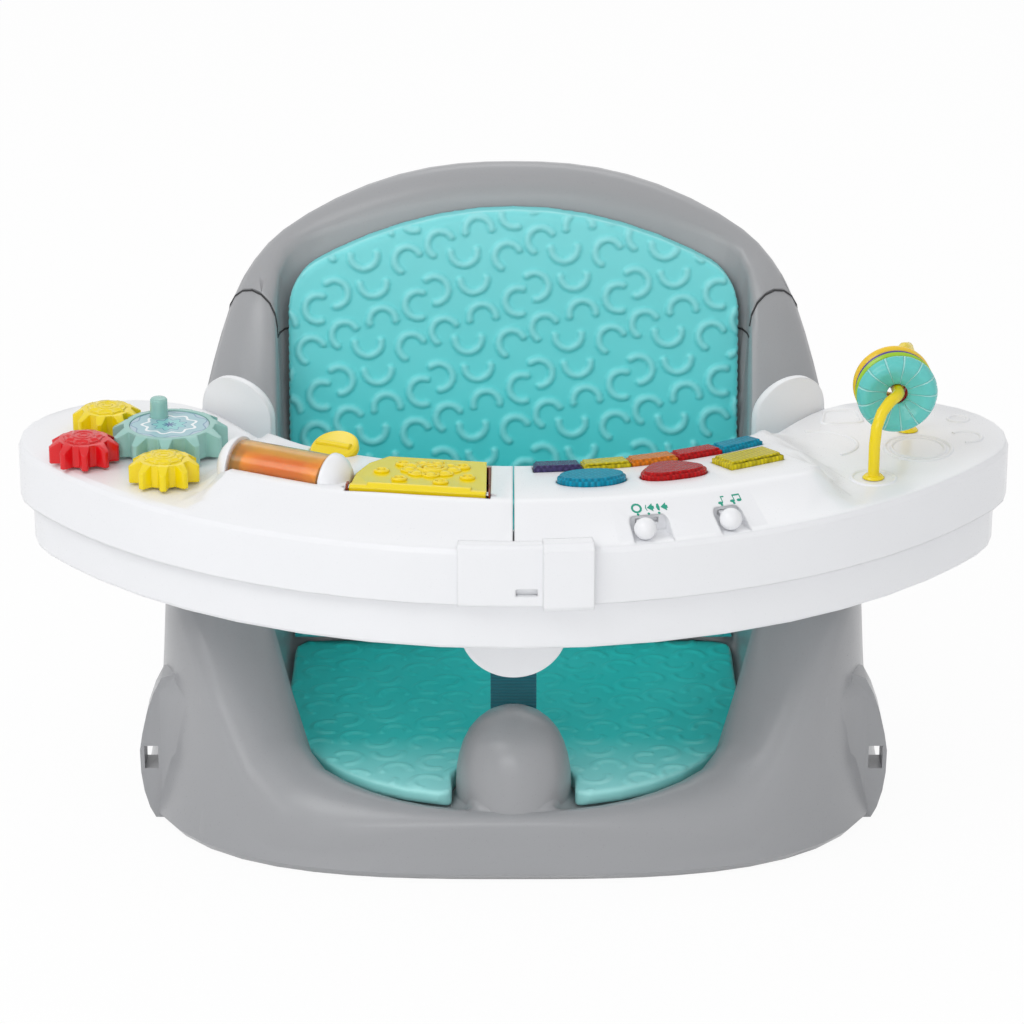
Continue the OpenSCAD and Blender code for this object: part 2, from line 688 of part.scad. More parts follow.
module gear_knob() {
    color(sea_green)
    translate([big_xy[0] - 6.6, big_xy[1] + 13, gear_z + 12.6])
        rotate_extrude()
            polygon([[0, 0], [4.9, 0], [4.6, 10.6], [3.9, 11.6], [0, 11.9]]);
}

module small_gear(k, c) {
    color(c)
    translate([small_xy(k)[0], small_xy(k)[1], gear_z]) rotate(small_phase(k))
        difference() {
            union() {
                toothed(small_teeth, 13.2, small_tip, 2.7, 1.6, 12);
                translate([0, 0, 11]) cylinder(1.8, r = 10);
            }
            translate([0, 0, -1]) cylinder(10, r = 3.05);
        }
}

module gear_axles() {
    // Posts on the tray's floor plate, each with a thrust collar over the top face
    color(white) {
        translate([big_xy[0], big_xy[1], 0]) {
            translate([0, 0, tray_z + 3.5]) cylinder(gear_z + 10 - tray_z - 3.5, r = 4);
            translate([0, 0, rim_z + 0.2]) cylinder(gear_z - rim_z - 0.4, r = 6.5);
        }
        for (k = [0 : 2]) translate([small_xy(k)[0], small_xy(k)[1], 0]) {
            translate([0, 0, tray_z + 3.5]) cylinder(gear_z + 8 - tray_z - 3.5, r = 3);
            translate([0, 0, rim_z + 0.2]) cylinder(gear_z - rim_z - 0.4, r = 5.5);
        }
    }
}

roller_at = [260, -27.2];          // arc radius and angle of the roller
roller_z = 218;

module at_roller() on_arc(roller_at[0], roller_at[1], roller_z) rotate([0, 90, 0]) children();

module roller_barrel() {
    color("#d99a28")
    at_roller() difference() {
        cylinder(roller_len, r = roller_r, center = true);
        cylinder(roller_len - 3, r = roller_r - 1.6, center = true);
        cylinder(roller_len + 2, r = 2.06, center = true);
    }
}

module roller_core() {
    color("#d3502a")
    at_roller() difference() {
        cylinder(roller_len - 6, r = 8, center = true);
        cylinder(roller_len, r = 2.06, center = true);
    }
}

module roller_axle() {
    color(steel) at_roller() cylinder(roller_len + 12, r = 2, center = true);
}

dial_at = [211.5, -26.7];          // arc radius and angle of the thumb dial
dial_z = 217;
dial_tilt = 20;                    // the dial leans away from the child
module at_dial() on_arc(dial_at[0], dial_at[1], dial_z) rotate([dial_tilt, 0, 0]) children();

module thumb_dial() {
    color(yellow)
    at_dial() difference() {
        union() {
            rotate_extrude()
                polygon([[0, -3], [12.4, -3], [13, -2.4], [13, 0.6], [12, 1.8], [0, 2.4]]);
            translate([0, 0, 2]) rotate([0, 90, 0])
                cylinder(20, r = 2, center = true);
        }
        translate([0, 0, -4]) cylinder(4, r = 2.06);
    }
}

module dial_post() {
    color(white) at_dial() {
        translate([0, 0, -12]) cylinder(11.6, r = 2);
        translate([0, 0, -4]) cylinder(0.7, r = 5);
    }
}

// Flip door: hinged along its front edge, which runs from the left corner to the right
door_corners = [[-84.5, -133.5], [-13.5, -145], [-14, -82.5], [-65.5, -73.5], [-75.5, -88],
                [-81.5, -109]];
door_z = 221.5;                    // height of the hinge axis
door_fall = 5.6;                   // the door slopes down to the child by this angle
door_dir = let (d = door_corners[1] - door_corners[0]) atan2(d[1], d[0]);
door_hinge = (door_corners[0] + door_corners[1]) / 2;

// Corners in the door's own frame: x along the hinge, y towards the child
door_local = [for (q = door_corners) let (d = q - door_hinge)
    [d[0] * cos(door_dir) + d[1] * sin(door_dir), d[1] * cos(door_dir) - d[0] * sin(door_dir)]];

module at_door() translate([door_hinge[0], door_hinge[1], door_z])
    rotate([0, 0, door_dir]) children();

door_out = [[-1, -1], [1, -1], [1, 1], [-0.5, 1], [-0.95, 0.5], [-1, 0.2]];
function grown(d) = door_local + d * door_out;

module flip_door() {
    // The lid's front lip hides the hinge barrel
    color(yellow)
    at_door() difference() {
        union() {
            rotate([-door_fall, 0, 0]) translate([0, 0, -1])
                linear_extrude(3.4)
                    polygon(door_local + [[0.4, 3], [-0.9, 3], [0, 0], [0, 0], [0, 0], [0, 0]]);
            translate([-0.4, 0, 0]) rotate([90, 0, 90]) linear_extrude(71, center = true)
                polygon([[0.2, -1.6], [0.2, 1.4], [1.4, 2.4], [4, 2.4], [4, -1.6]]);
            rotate([0, 90, 0]) translate([0, 4, 0])
                cylinder(54, r = 3.4, center = true);
        }
        translate([0, 4, 0]) rotate([0, 90, 0]) cylinder(80, r = 1.56, center = true);
    }
}

module door_pin() {
    color(steel)
    at_door() translate([0, 4, 0]) rotate([0, 90, 0]) translate([0, 0, -0.6])
        cylinder(74.4, r = 1.5, center = true);
}

module door_pocket() {
    // Tray under the door: its dark wall lines the well up to the lid
    color("#a5402a")
    at_door() difference() {
        union() {
            difference() {
                translate([0, 0, -18]) linear_extrude(26) polygon(grown(1.9));
                rotate([-door_fall, 0, 0]) translate([-60, -20, -1.2]) cube([120, 110, 40]);
            }
            // Ears that hold the hinge pin
            intersection() {
                translate([0, 0, -18]) linear_extrude(20.4) polygon(grown(1.9));
                translate([-60, 1.6, -18]) cube([120, 4.8, 20.4]);
            }
        }
        translate([0, 0, -16.4]) linear_extrude(30) polygon(grown(0.8));
        translate([0, 4, 0]) rotate([0, 90, 0]) cylinder(90, r = 1.56, center = true);
    }
}

module gear_tray_housing() {
    color(white)
    difference() {
        union() {
            mirror([1, 0, 0]) toy_housing(41.6);
            // Cheeks that carry the roller's axle
            intersection() {
                at_roller() for (side = [0, 1]) mirror([0, 0, side])
                    translate([0, 0, roller_len / 2 + 1]) rotate_extrude()
                        polygon([[0, 0], [roller_r + 1.4, 0], [roller_r + 1.2, 2],
                                 [roller_r - 0.4, 5], [roller_r - 3.4, 7.8],
                                 [roller_r - 7.4, 9.6], [0, 10.6]]);
                on_arc(roller_at[0], roller_at[1], 207) translate([-50, -30, 0])
                    cube([100, 60, 40]);
            }
            // Cup for the thumb dial's lower half, and the boss under its post
            intersection() {
                at_dial() translate([0, 0, -6.5]) cylinder(24, r = 15.4);
                on_arc(212, dial_at[1], rim_z + inner_up - 0.3) rotate([-console_fall, 0, 0])
                    translate([-20, -40, -20]) cube([40, 40.5, 20]);
            }
            at_dial() translate([0, 0, -14]) cylinder(10, r = 7);
        }
        at_roller() {
            cube([2 * (roller_r + 1), 2 * (roller_r + 1), roller_len + 2], center = true);
            cylinder(roller_len + 14, r = 2.06, center = true);
        }
        translate([big_xy[0], big_xy[1], 190]) cylinder(40, r = 4.3);
        for (k = [0 : 2]) translate([small_xy(k)[0], small_xy(k)[1], 190]) cylinder(40, r = 3.3);
        at_dial() {
            translate([0, 0, -4]) cylinder(30, r = 13.7);
            translate([0, 0, -12]) cylinder(10, r = 2);
        }
        // Well and hinge slots of the flip door
        at_door() {
            translate([0, 0, -30]) linear_extrude(60)
                polygon(grown(2.1));
            translate([0, 4, 0]) rotate([0, 90, 0]) cylinder(80, r = 1.56, center = true);
        }
        screw_holes(-1);
    }
}

module gear_tray_cover() {
    color(white) difference() {
        mirror([1, 0, 0]) toy_cover();
        screw_holes(-1);
    }
}

// ---- Music side ----

screw_spots = [[300, 14], [300, 44], [216, 24], [205, 52]];
module screw_holes(side) {
    for (q = screw_spots) on_arc(q[0], side * q[1], tray_z - 2) cylinder(7, r = 1.6);
}

module tray_screws() {
    color(steel)
    for (side = [-1, 1]) for (q = screw_spots) on_arc(q[0], side * q[1], tray_z + 0.2) {
        cylinder(0.8, r = 3);
        cylinder(6, r = 1.5);
    }
}

key_r = [212.5, 226];
key_start = 2.6;
key_step = 6.7;
key_colours = ["#5b3f8f", "#e8d828", "#f08a2c", "#cf2b33", "#1a96c8"];
// The console's own slope towards the child, which keys and buttons follow
console_fall = atan((crest_up - inner_up) / (crest_r - toy_r_in - 4));
function console_z(r) = rim_z + console_up(r);

module key_block(k, side_gap, lo, hi) {
    mid_r = (key_r[0] + key_r[1]) / 2;
    on_arc(mid_r, key_start + key_step * (k + 0.5), console_z(mid_r))
        rotate([-console_fall, 0, 0])
            translate([0, 0, lo]) linear_extrude(hi - lo)
                polygon([let (w = key_r[1] * tan(key_step / 2), d = (key_r[1] - key_r[0]) / 2)
                    for (q = [[-1, -1], [1, -1], [1, 1], [-1, 1]])
                    [q[0] * (w - side_gap - (q[1] > 0 ? 2 * d * tan(key_step / 2) : 0)),
                     q[1] * (d - side_gap)]]);
}

module piano_key(k) {
    color(key_colours[k]) {
        key_block(k, 0.4, -6, 2);
        key_block(k, 1.4, 1.9, 3.2);
    }
}

button_at = [[247.5, 9.4], [247.5, 19.4], [247.5, 29.8]];

module button_shape(k, d) {
    if (k == 0) polygon([for (a = [0 : 10 : 350])
        [(18.1 + d) * cos(a), (12.4 + d) * sin(a)]]);
    if (k == 1) polygon([for (a = [0 : 10 : 350])
        let (r = 13.2 + d + 1.25 * cos(3 * (a + 30)))
        [1.32 * r * cos(a), r * sin(a) - 0.5]]);
    if (k == 2) square([32.6 + 2 * d, 20 + 2 * d], center = true);
}

module at_button(k) on_arc(button_at[k][0], button_at[k][1], console_z(button_at[k][0]))
    rotate([-console_fall, 0, 0]) children();

module button(k, c) {
    color(c) at_button(k) {
        translate([0, 0, -6]) linear_extrude(8.6) button_shape(k, 0);
        translate([0, 0, 2.5]) linear_extrude(1.5) button_shape(k, -1.4);
    }
}

switch_at = [[304.5, 13.4], [304.5, 21.6]];  // arc radius and angle of the two alcoves
switch_half = [10.3, 7.9];             // half width of each alcove
switch_rest = [-4, -1.6];              // where each ball rests, from the middle
switch_z = rim_z + 4.9;

module at_switch(k) on_arc(switch_at[k][0], switch_at[k][1], switch_z) children();

module slide_switch(k) {
    // Ball on a blade, with a plate that closes the slot behind it
    color(white) at_switch(k) translate([switch_rest[k], 0, 0]) {
        sphere(5.7);
        translate([-1.6, 2, -1.5]) cube([3.2, 12.6, 2]);
        translate([-switch_half[k] - 1.6, 14.3, -4.2])
            cube([2 * switch_half[k] + 3.2, 1.4, 5.4]);
    }
}

module music_tray_housing() {
    color(white)
    difference() {
        union() {
            toy_housing(43.6);
            // Lining of the switch alcoves
            for (k = [0 : 1]) at_switch(k) rotate([90, 0, 90])
                linear_extrude(2 * switch_half[k] + 4, center = true)
                    polygon([[-1.5, -7.8], [14, -7.8], [14, 3.4], [-1.5, -4.8]]);
        }
        for (k = [0 : 4]) key_block(k, 0, -12, 12);
        for (k = [0 : 2]) at_button(k) translate([0, 0, -12]) linear_extrude(24)
            button_shape(k, 0.5);
        for (k = [0 : 1]) at_switch(k) {
            // Alcove with a round top, open to the rim, and the blade's slot in its back
            translate([0, 12, 0]) rotate([90, 0, 0]) linear_extrude(18)
                union() {
                    translate([-switch_half[k], -6]) square([2 * switch_half[k], 5.7]);
                    for (side = [-1, 1])
                        translate([side * (switch_half[k] - 3), -0.4]) circle(3);
                    translate([-switch_half[k] + 3, -0.4])
                        square([2 * switch_half[k] - 6, 3]);
                }
            translate([switch_rest[k] - 2, 8, -1.9])
                cube([4 - 2 * switch_rest[k], 10, 2.8]);
        }
        for (q = [wire_path[0], wire_path[len(wire_path) - 1]])
            translate([q[0], q[1], 190]) cylinder(40, r = wire_d / 2 + 0.3);
        screw_holes(1);
    }
}

module music_tray_cover() {
    color(white) difference() {
        toy_cover();
        // Battery hatch
        on_arc(250, 44, tray_z - 2) translate([-31, -18, 0]) cube([62, 36, 8]);
        screw_holes(1);
    }
}

module battery_door() {
    color(white) on_arc(250, 44, tray_z + 1) translate([-30.7, -17.7, 0]) cube([61.4, 35.4, 2.2]);
}

module batteries() {
    color("#7b8a96")
    on_arc(250, 44, tray_z + 12) for (k = [-1, 1])
        translate([0, k * 8, 0]) rotate([0, 90, 0]) {
            cylinder(49, r = 7, center = true);
            translate([0, 0, k * 25]) cylinder(1.6, r = 2.6, center = true);
        }
}

module circuit_board() {
    color("#2f7d4f")
    translate([0, arc_y, tray_z + 8]) rotate([0, 0, -90 + 4])
        rotate_extrude(angle = 29, $fn = 96) translate([222, 0]) square([56, 1.6]);
}

module speaker() {
    color("#4a4a4d")
    on_arc(289, 38, tray_z + 4) {
        cylinder(4, r = 12);
        translate([0, 0, 4]) cylinder(6, r = 7);
    }
}

module front_clip() {
    // Clip over the outer wall that holds the two halves together
    rr = toy_r + gap;
    color(white)
    translate([0, arc_y, 0])
    difference() {
        union() {
            rotate([0, 0, -90 - 5.2]) rotate_extrude(angle = 8, $fn = 128)
                polygon([[rr, tray_z + 1], [rr + 2.2, tray_z + 1], [rr + 2.8, tray_z + 2],
                         [rr + 2.8, rim_z + 0.6], [rr + 1.4, rim_z + 2.4],
                         [slope_r + 0.6, rim_z + 2.4], [slope_r + 0.6, rim_z + 0.4],
                         [rr, rim_z + 0.4]]);
            rotate([0, 0, -90 + 2.7]) rotate_extrude(angle = 4.7, $fn = 128)
                polygon([[rr, tray_z - 0.5], [rr + 4.6, tray_z - 0.5], [rr + 6.05, tray_z + 1.5],
                         [rr + 6.05, rim_z], [rr + 3, rim_z + 3.6],
                         [slope_r + 0.6, rim_z + 3.6], [slope_r + 0.6, rim_z + 0.4],
                         [rr, rim_z + 0.4]]);
        }
        // Finger slot beside the step
        rotate([0, 0, -90 + 1.2]) translate([300, -5.5, tray_z + 7]) cube([30, 11, 3.6]);
    }
}

// ---- Bead wire and rings ----

// Bent by hand: up from the front foot, back through the rings, over and down
wire_path = [
    [189.5, -80, 196], [189.5, -80, 212], [189.5, -80, 226], [190.4, -79.4, 236],
    [193.2, -77.2, 243.6], [197.6, -72.8, 248], [201.2, -68.4, 249.2],
    [203, -63.8, 249.4], [202.6, -58, 249.7], [201.9, -49, 250.2], [201.3, -41.5, 250.7],
    [201.8, -36.6, 251.8], [203.8, -31.6, 255], [206.4, -26.6, 258.6],
    [209.2, -20.6, 260.2], [211.8, -14.6, 258.4], [213.4, -10, 253.4],
    [214, -7.4, 246], [214.2, -6.4, 237], [214.2, -6.2, 226], [214.2, -6.2, 212],
    [214.2, -6.2, 196]
];

// Tube through the points, with each ring square to the way along
module tube(path, r, sides) {
    n = len(path);
    function dir(i) =
        i == 0 || i == 1 ? [0, 0, 1] : i > n - 3 ? [0, 0, -1]
        : let (d = path[i + 1] - path[i - 1]) d / norm(d);
    // The wire lies near one upright plane, whose normal stays square to it
    across = [0.93, -0.37, 0];
    points = [for (i = [0 : n - 1])
        let (t = dir(i), u = cross(t, across), v = u / norm(u), w = cross(v, t))
        for (k = [0 : sides - 1])
            path[i] + r * (cos(360 * k / sides) * v + sin(360 * k / sides) * w)];
    polyhedron(concat(points, [path[0], path[n - 1]]), concat(
        [for (i = [0 : n - 2]) for (k = [0 : sides - 1]) let (l = (k + 1) % sides)
            [i * sides + k, i * sides + l, (i + 1) * sides + l, (i + 1) * sides + k]],
        [for (k = [0 : sides - 1]) [n * sides, (k + 1) % sides, k]],
        [for (k = [0 : sides - 1])
            [n * sides + 1, (n - 1) * sides + k, (n - 1) * sides + (k + 1) % sides]]),
        convexity = 6);
}

module bead_wire() {
    color(yellow) {
        tube(wire_path, wire_d / 2, 12);
        for (q = [wire_path[0], wire_path[len(wire_path) - 1]])
            translate([q[0], q[1], rim_z + 0.3]) cylinder(1.6, r1 = 6, r2 = 4.6);
    }
}

// Rings hang on the straight middle stretch of the wire
ring_from = [202.9, -64.2, 249.3];
ring_dir = [-0.08, 0.995, 0.055] / norm([-0.08, 0.995, 0.055]);
ring_drop = 1.9;                   // the rings' axis lies this far below the wire's

module at_ring(s) {
    q = ring_from + s * ring_dir - [0, 0, ring_drop];
    translate(q)
        rotate([0, 0, atan2(ring_dir[1], ring_dir[0])])
            rotate([0, acos(ring_dir[2]), 0]) children();
}

module ring_profile(r, hole, t) {
    rotate_extrude()
        polygon([[hole, 0.8], [hole + 0.8, 0], [r - 1.4, 0], [r, 1.4], [r, t - 1.4],
                 [r - 1.4, t], [hole + 0.8, t], [hole, t - 0.8]]);
}

module ring_teal() {
    // Dished ring with a scalloped outside
    color("#3cc4ae") at_ring(0) difference() {
        rotate_extrude()
            polygon([[5.7, 4.6], [7.6, 3.4], [11.4, 2.2], [14.4, 0.6], [17.4, 0.1], [20, 1.4],
                     [ring_r, 4.2], [ring_r, 5], [20, 7.8], [17.4, 9.1], [14.4, 8.6],
                     [11.4, 7], [7.6, 6.4], [5.7, 5.8]]);
        for (k = [0 : 13]) rotate(360 * k / 14) translate([ring_r + 0.8, 0, -1])
            cylinder(12, r = 1.1, $fn = 16);
    }
}
module ring_green() { color("#a5cf2c") at_ring(9.4) ring_profile(21.3, 10, 3); }
module ring_purple() { color("#54479b") at_ring(12.8) ring_profile(20.8, 10, 3); }
module ring_yellow() {
    color("#f4b81c") at_ring(16.2)
        rotate_extrude()
            polygon([[5.7, 1.6], [7, 0.4], [18, 0], [20, 1], [21.2, 3], [21.2, 4], [20, 6],
                     [18, 7], [7, 6.6], [5.7, 5.4]]);
}
module bead_red() { color(red) at_ring(9.6) ring_profile(9, 5.7, 6); }

base_shell();
back_shell_top();
seat_pad();
back_pad();
floor_feet();
crotch_strap();
waist_strap(-1);  // waist_strap_left
waist_strap(1);  // waist_strap_right
buckle();
feeding_tray();
tray_grip(-1);  // tray_grip_left
tray_grip(1);  // tray_grip_right
release_tab();
tab_pin();
gear_tray_housing();
gear_tray_cover();
music_tray_housing();
music_tray_cover();
gear_axles();
big_gear();
gear_disc();
gear_knob();
small_gear(0, yellow);  // small_gear_back
small_gear(1, red);  // small_gear_left
small_gear(2, yellow);  // small_gear_front
roller_barrel();
roller_core();
roller_axle();
thumb_dial();
dial_post();
flip_door();
door_pin();
door_pocket();
front_clip();
piano_key(0);  // key_1
piano_key(1);  // key_2
piano_key(2);  // key_3
piano_key(3);  // key_4
piano_key(4);  // key_5
button(0, "#1a96c8");  // button_oval
button(1, "#cf2b33");  // button_triangle
button(2, "#e8d828");  // button_oblong
slide_switch(0);  // volume_switch
slide_switch(1);  // mode_switch
circuit_board();
speaker();
batteries();
battery_door();
tray_screws();
bead_wire();
ring_teal();
ring_green();
ring_purple();
ring_yellow();
bead_red();
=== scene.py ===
# Baby floor seat with feeding tray and activity tray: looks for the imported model.
import json
import math

import bmesh
import bpy
import numpy as np
from mathutils import Matrix, Vector
from mathutils.bvhtree import BVHTree

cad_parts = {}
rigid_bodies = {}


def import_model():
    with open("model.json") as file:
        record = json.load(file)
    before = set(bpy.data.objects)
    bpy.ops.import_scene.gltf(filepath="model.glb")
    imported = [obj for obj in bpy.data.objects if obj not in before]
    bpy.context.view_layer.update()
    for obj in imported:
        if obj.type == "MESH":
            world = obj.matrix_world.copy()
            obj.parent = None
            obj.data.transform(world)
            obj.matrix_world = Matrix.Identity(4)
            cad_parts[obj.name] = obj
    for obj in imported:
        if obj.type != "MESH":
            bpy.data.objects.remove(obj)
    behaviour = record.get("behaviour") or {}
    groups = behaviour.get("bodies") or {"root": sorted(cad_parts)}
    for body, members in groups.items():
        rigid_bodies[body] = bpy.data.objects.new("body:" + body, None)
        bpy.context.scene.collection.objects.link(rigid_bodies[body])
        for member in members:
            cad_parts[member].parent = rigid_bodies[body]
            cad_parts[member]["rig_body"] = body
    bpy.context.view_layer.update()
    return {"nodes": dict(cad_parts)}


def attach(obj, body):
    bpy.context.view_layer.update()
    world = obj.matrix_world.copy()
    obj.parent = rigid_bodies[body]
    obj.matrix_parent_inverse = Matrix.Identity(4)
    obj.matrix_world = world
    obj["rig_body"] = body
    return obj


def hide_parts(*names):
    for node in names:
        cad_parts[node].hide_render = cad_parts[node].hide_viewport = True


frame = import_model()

mm = 0.001
scene = bpy.context.scene
nodes = frame["nodes"]


def linear(hexColour):
    # sRGB hex to the linear values that Blender's sockets take
    parts = [int(hexColour[i:i + 2], 16) / 255 for i in (1, 3, 5)]
    return tuple(c / 12.92 if c <= 0.04045 else ((c + 0.055) / 1.055) ** 2.4
                 for c in parts) + (1,)


def darker(colour, share):
    return tuple(c * share for c in colour[:3]) + (1,)


def setInputs(tree, node, inputs):
    # Each input is a plain value, or the socket that feeds it
    for key, value in inputs.items():
        if isinstance(value, bpy.types.NodeSocket):
            tree.links.new(value, node.inputs[key])
        else:
            node.inputs[key].default_value = value


def addNode(tree, kind, inputs=(), **settings):
    node = tree.nodes.new(kind)
    for name, value in settings.items():
        setattr(node, name, value)
    setInputs(tree, node, dict(inputs))
    return node


def newMaterial(name):
    material = bpy.data.materials.new(name)
    material.use_nodes = True
    tree = material.node_tree
    return material, tree, tree.nodes["Principled BSDF"]


def inMillimetres(tree, **settings):
    # Object coordinates in mm, so that a pattern's scale is its real size
    coords = addNode(tree, "ShaderNodeTexCoord")
    return addNode(tree, "ShaderNodeMapping", {
        "Vector": coords.outputs["Object"], "Scale": (1 / mm,) * 3, **settings}).outputs[0]


def newPiece(name, bm, material, body, replaced=(), smoothAngle=35):
    mesh = bpy.data.meshes.new(name)
    bm.to_mesh(mesh)
    bm.free()
    piece = bpy.data.objects.new(name, mesh)
    scene.collection.objects.link(piece)
    piece.data.materials.append(material)
    mesh.shade_smooth()
    mesh.set_sharp_from_angle(angle=math.radians(smoothAngle))
    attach(piece, body)
    if replaced:
        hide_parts(*replaced)
    return piece


joining = {"gap": 0.001, "flatAngle": 0.4}


def cadCopy(node):
    # Merged copy of a CAD node's mesh, with its flat facets joined
    bm = bmesh.new()
    bm.from_mesh(nodes[node].data)
    bmesh.ops.remove_doubles(bm, verts=bm.verts, dist=joining["gap"] * mm)
    bmesh.ops.dissolve_limit(bm, angle_limit=math.radians(joining["flatAngle"]),
                             verts=bm.verts, edges=bm.edges)
    return bm


def refined(node, material, width=0.5, segments=2, smoothAngle=32, limit=38):
    # Stands for a CAD node: same shape, with small rounded edges
    piece = newPiece(node + "_moulded", cadCopy(node), material, nodes[node]["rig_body"], (node,),
                     smoothAngle)
    if width:
        bevel = piece.modifiers.new("edges", "BEVEL")
        bevel.width = width * mm
        bevel.segments = segments
        bevel.limit_method = "ANGLE"
        bevel.angle_limit = math.radians(limit)


def surfaceOf(node):
    # Search tree over a CAD node, for setting other pieces on it
    bm = bmesh.new()
    bm.from_mesh(nodes[node].data)
    tree = BVHTree.FromBMesh(bm)
    bm.free()
    return tree


wellAbove = 400                     # mm over the floor, higher than any piece


def heightAt(tree, x, y):
    # Top of a node in mm, straight below a point well above it
    start = Vector((x * mm, y * mm, wellAbove * mm))
    place = tree.ray_cast(start, Vector((0, 0, -1)))[0]
    return place.z / mm if place else None


def addBeads(bm, lines, radius, closed=False):
    # Round beads along lines of points in mm, added to a bmesh
    curve = bpy.data.curves.new("bead", "CURVE")
    curve.dimensions = "3D"
    curve.bevel_depth = radius * mm
    curve.bevel_resolution = 2
    curve.use_fill_caps = True
    for points in lines:
        spline = curve.splines.new("POLY")
        spline.points.add(len(points) - 1)
        for knot, point in zip(spline.points, points):
            knot.co = (point[0] * mm, point[1] * mm, point[2] * mm, 1)
        spline.use_cyclic_u = closed
    holder = bpy.data.objects.new("bead", curve)
    mesh = bpy.data.meshes.new_from_object(holder)
    bm.from_mesh(mesh)
    bpy.data.objects.remove(holder)
    bpy.data.curves.remove(curve)
    bpy.data.meshes.remove(mesh)


def ringPoints(x, y, z, radiusX, radiusY=None, start=0, end=360, steps=48):
    # A whole ring leaves out its last point, which would lie on its first
    count = steps + (end - start < 360)
    turns = [math.radians(start + (end - start) * i / steps) for i in range(count)]
    return [(x + radiusX * math.cos(t), y + (radiusY or radiusX) * math.sin(t), z) for t in turns]


def addDome(bm, x, y, z, sizes, turn=0.0):
    # Low round button, with sizes as two radii and a rise in mm, whose middle plane is at z
    made = bmesh.ops.create_uvsphere(bm, u_segments=20, v_segments=10, radius=1)["verts"]
    shape = (Matrix.Translation((x * mm, y * mm, z * mm))
             @ Matrix.Rotation(math.radians(turn), 4, "Z")
             @ Matrix.Diagonal((*(size * mm for size in sizes), 1)))
    bmesh.ops.transform(bm, matrix=shape, verts=made)


camera = {"target": (-0.0008, 0.021, 0.150), "distance": 2.2, "elevation": 21.0, "lens": 139.2}


def makeCamera():
    tilt = math.radians(camera["elevation"])
    back = Vector((0, -math.cos(tilt), math.sin(tilt)))
    cameraData = bpy.data.cameras.new("camera")
    cameraData.lens = camera["lens"]
    cameraData.sensor_width = 36.0
    cameraObject = bpy.data.objects.new("camera", cameraData)
    cameraObject.location = Vector(camera["target"]) + back * camera["distance"]
    cameraObject.rotation_euler = (math.radians(90) - tilt, 0, 0)
    scene.collection.objects.link(cameraObject)
    scene.camera = cameraObject


# Sky's strength at and above the horizon, and the floor's own pale grey and glow
light = {"skyLow": 0.341, "skyHigh": 0.775, "heights": (-0.3, 0.9), "floorGlow": 0.94,
         "floorShade": 0.97, "floorRoughness": 0.9, "floorHalfWidth": 6}

# Each lamp: place, the point it aims at, width and height, in m, and power in W
lamps = {"keyLamp": ((-1.1, -1.0, 1.7), (0, 0, 0.12), (1.3, 1.0), 11.0),
         "frontLamp": ((-0.35, -2.1, 0.75), (0, 0, 0.17), (1.2, 0.5), 6.0),
         "fillLamp": ((1.5, -1.3, 0.9), (0, 0, 0.15), (1.2, 1.2), 1.2),
         "rimLamp": ((0.2, 1.3, 1.5), (0, 0, 0.25), (1.4, 0.6), 3.0)}


def areaLamp(name, place, aim, size, power):
    lamp = bpy.data.lights.new(name, "AREA")
    lamp.shape = "RECTANGLE"
    lamp.size, lamp.size_y = size
    lamp.energy = power
    lampObject = bpy.data.objects.new(name, lamp)
    lampObject.location = place
    lampObject.rotation_euler = (Vector(aim) - Vector(place)).to_track_quat("-Z", "Y").to_euler()
    scene.collection.objects.link(lampObject)


def seenDirectly(tree):
    # 1 for what the camera, a glossy surface or clear plastic sees, 0 for what lights the object
    path = addNode(tree, "ShaderNodeLightPath").outputs
    clear = addNode(tree, "ShaderNodeMath", {
        0: path["Is Camera Ray"], 1: path["Is Transmission Ray"]}, operation="MAXIMUM")
    return addNode(tree, "ShaderNodeMath", {
        0: clear.outputs[0], 1: path["Is Glossy Ray"]}, operation="MAXIMUM").outputs[0]


def makeSky():
    # Dome that is brighter above than at the horizon, and plain white where it is seen
    world = bpy.data.worlds.new("studio")
    scene.world = world
    world.use_nodes = True
    tree = world.node_tree
    tree.nodes.clear()
    coords = addNode(tree, "ShaderNodeTexCoord")
    height = addNode(tree, "ShaderNodeSeparateXYZ", {0: coords.outputs["Generated"]})
    dome = addNode(tree, "ShaderNodeMapRange", {
        "Value": height.outputs["Z"], "From Min": light["heights"][0],
        "From Max": light["heights"][1], "To Min": light["skyLow"], "To Max": light["skyHigh"]})
    strength = addNode(tree, "ShaderNodeMix", {
        "Factor": seenDirectly(tree), "A": dome.outputs["Result"], "B": 1.0})
    background = addNode(tree, "ShaderNodeBackground", {
        "Color": (1, 1, 1, 1), "Strength": strength.outputs[0]})
    addNode(tree, "ShaderNodeOutputWorld", {"Surface": background.outputs[0]})


def makeFloor():
    floorMaterial, tree, shader = newMaterial("white sweep")
    setInputs(tree, shader, {"Base Color": (light["floorShade"],) * 3 + (1,),
                             "Roughness": light["floorRoughness"]})
    glow = addNode(tree, "ShaderNodeEmission", {"Color": (1, 1, 1, 1), "Strength": 1.0})
    share = addNode(tree, "ShaderNodeMath", {0: seenDirectly(tree), 1: light["floorGlow"]},
                    operation="MULTIPLY")
    mixed = addNode(tree, "ShaderNodeMixShader", {
        0: share.outputs[0], 1: shader.outputs[0], 2: glow.outputs[0]})
    setInputs(tree, tree.nodes["Material Output"], {"Surface": mixed.outputs[0]})
    bm = bmesh.new()
    bmesh.ops.create_grid(bm, x_segments=1, y_segments=1, size=light["floorHalfWidth"])
    mesh = bpy.data.meshes.new("floor")
    bm.to_mesh(mesh)
    bm.free()
    floor = bpy.data.objects.new("floor", mesh)
    scene.collection.objects.link(floor)
    mesh.materials.append(floorMaterial)


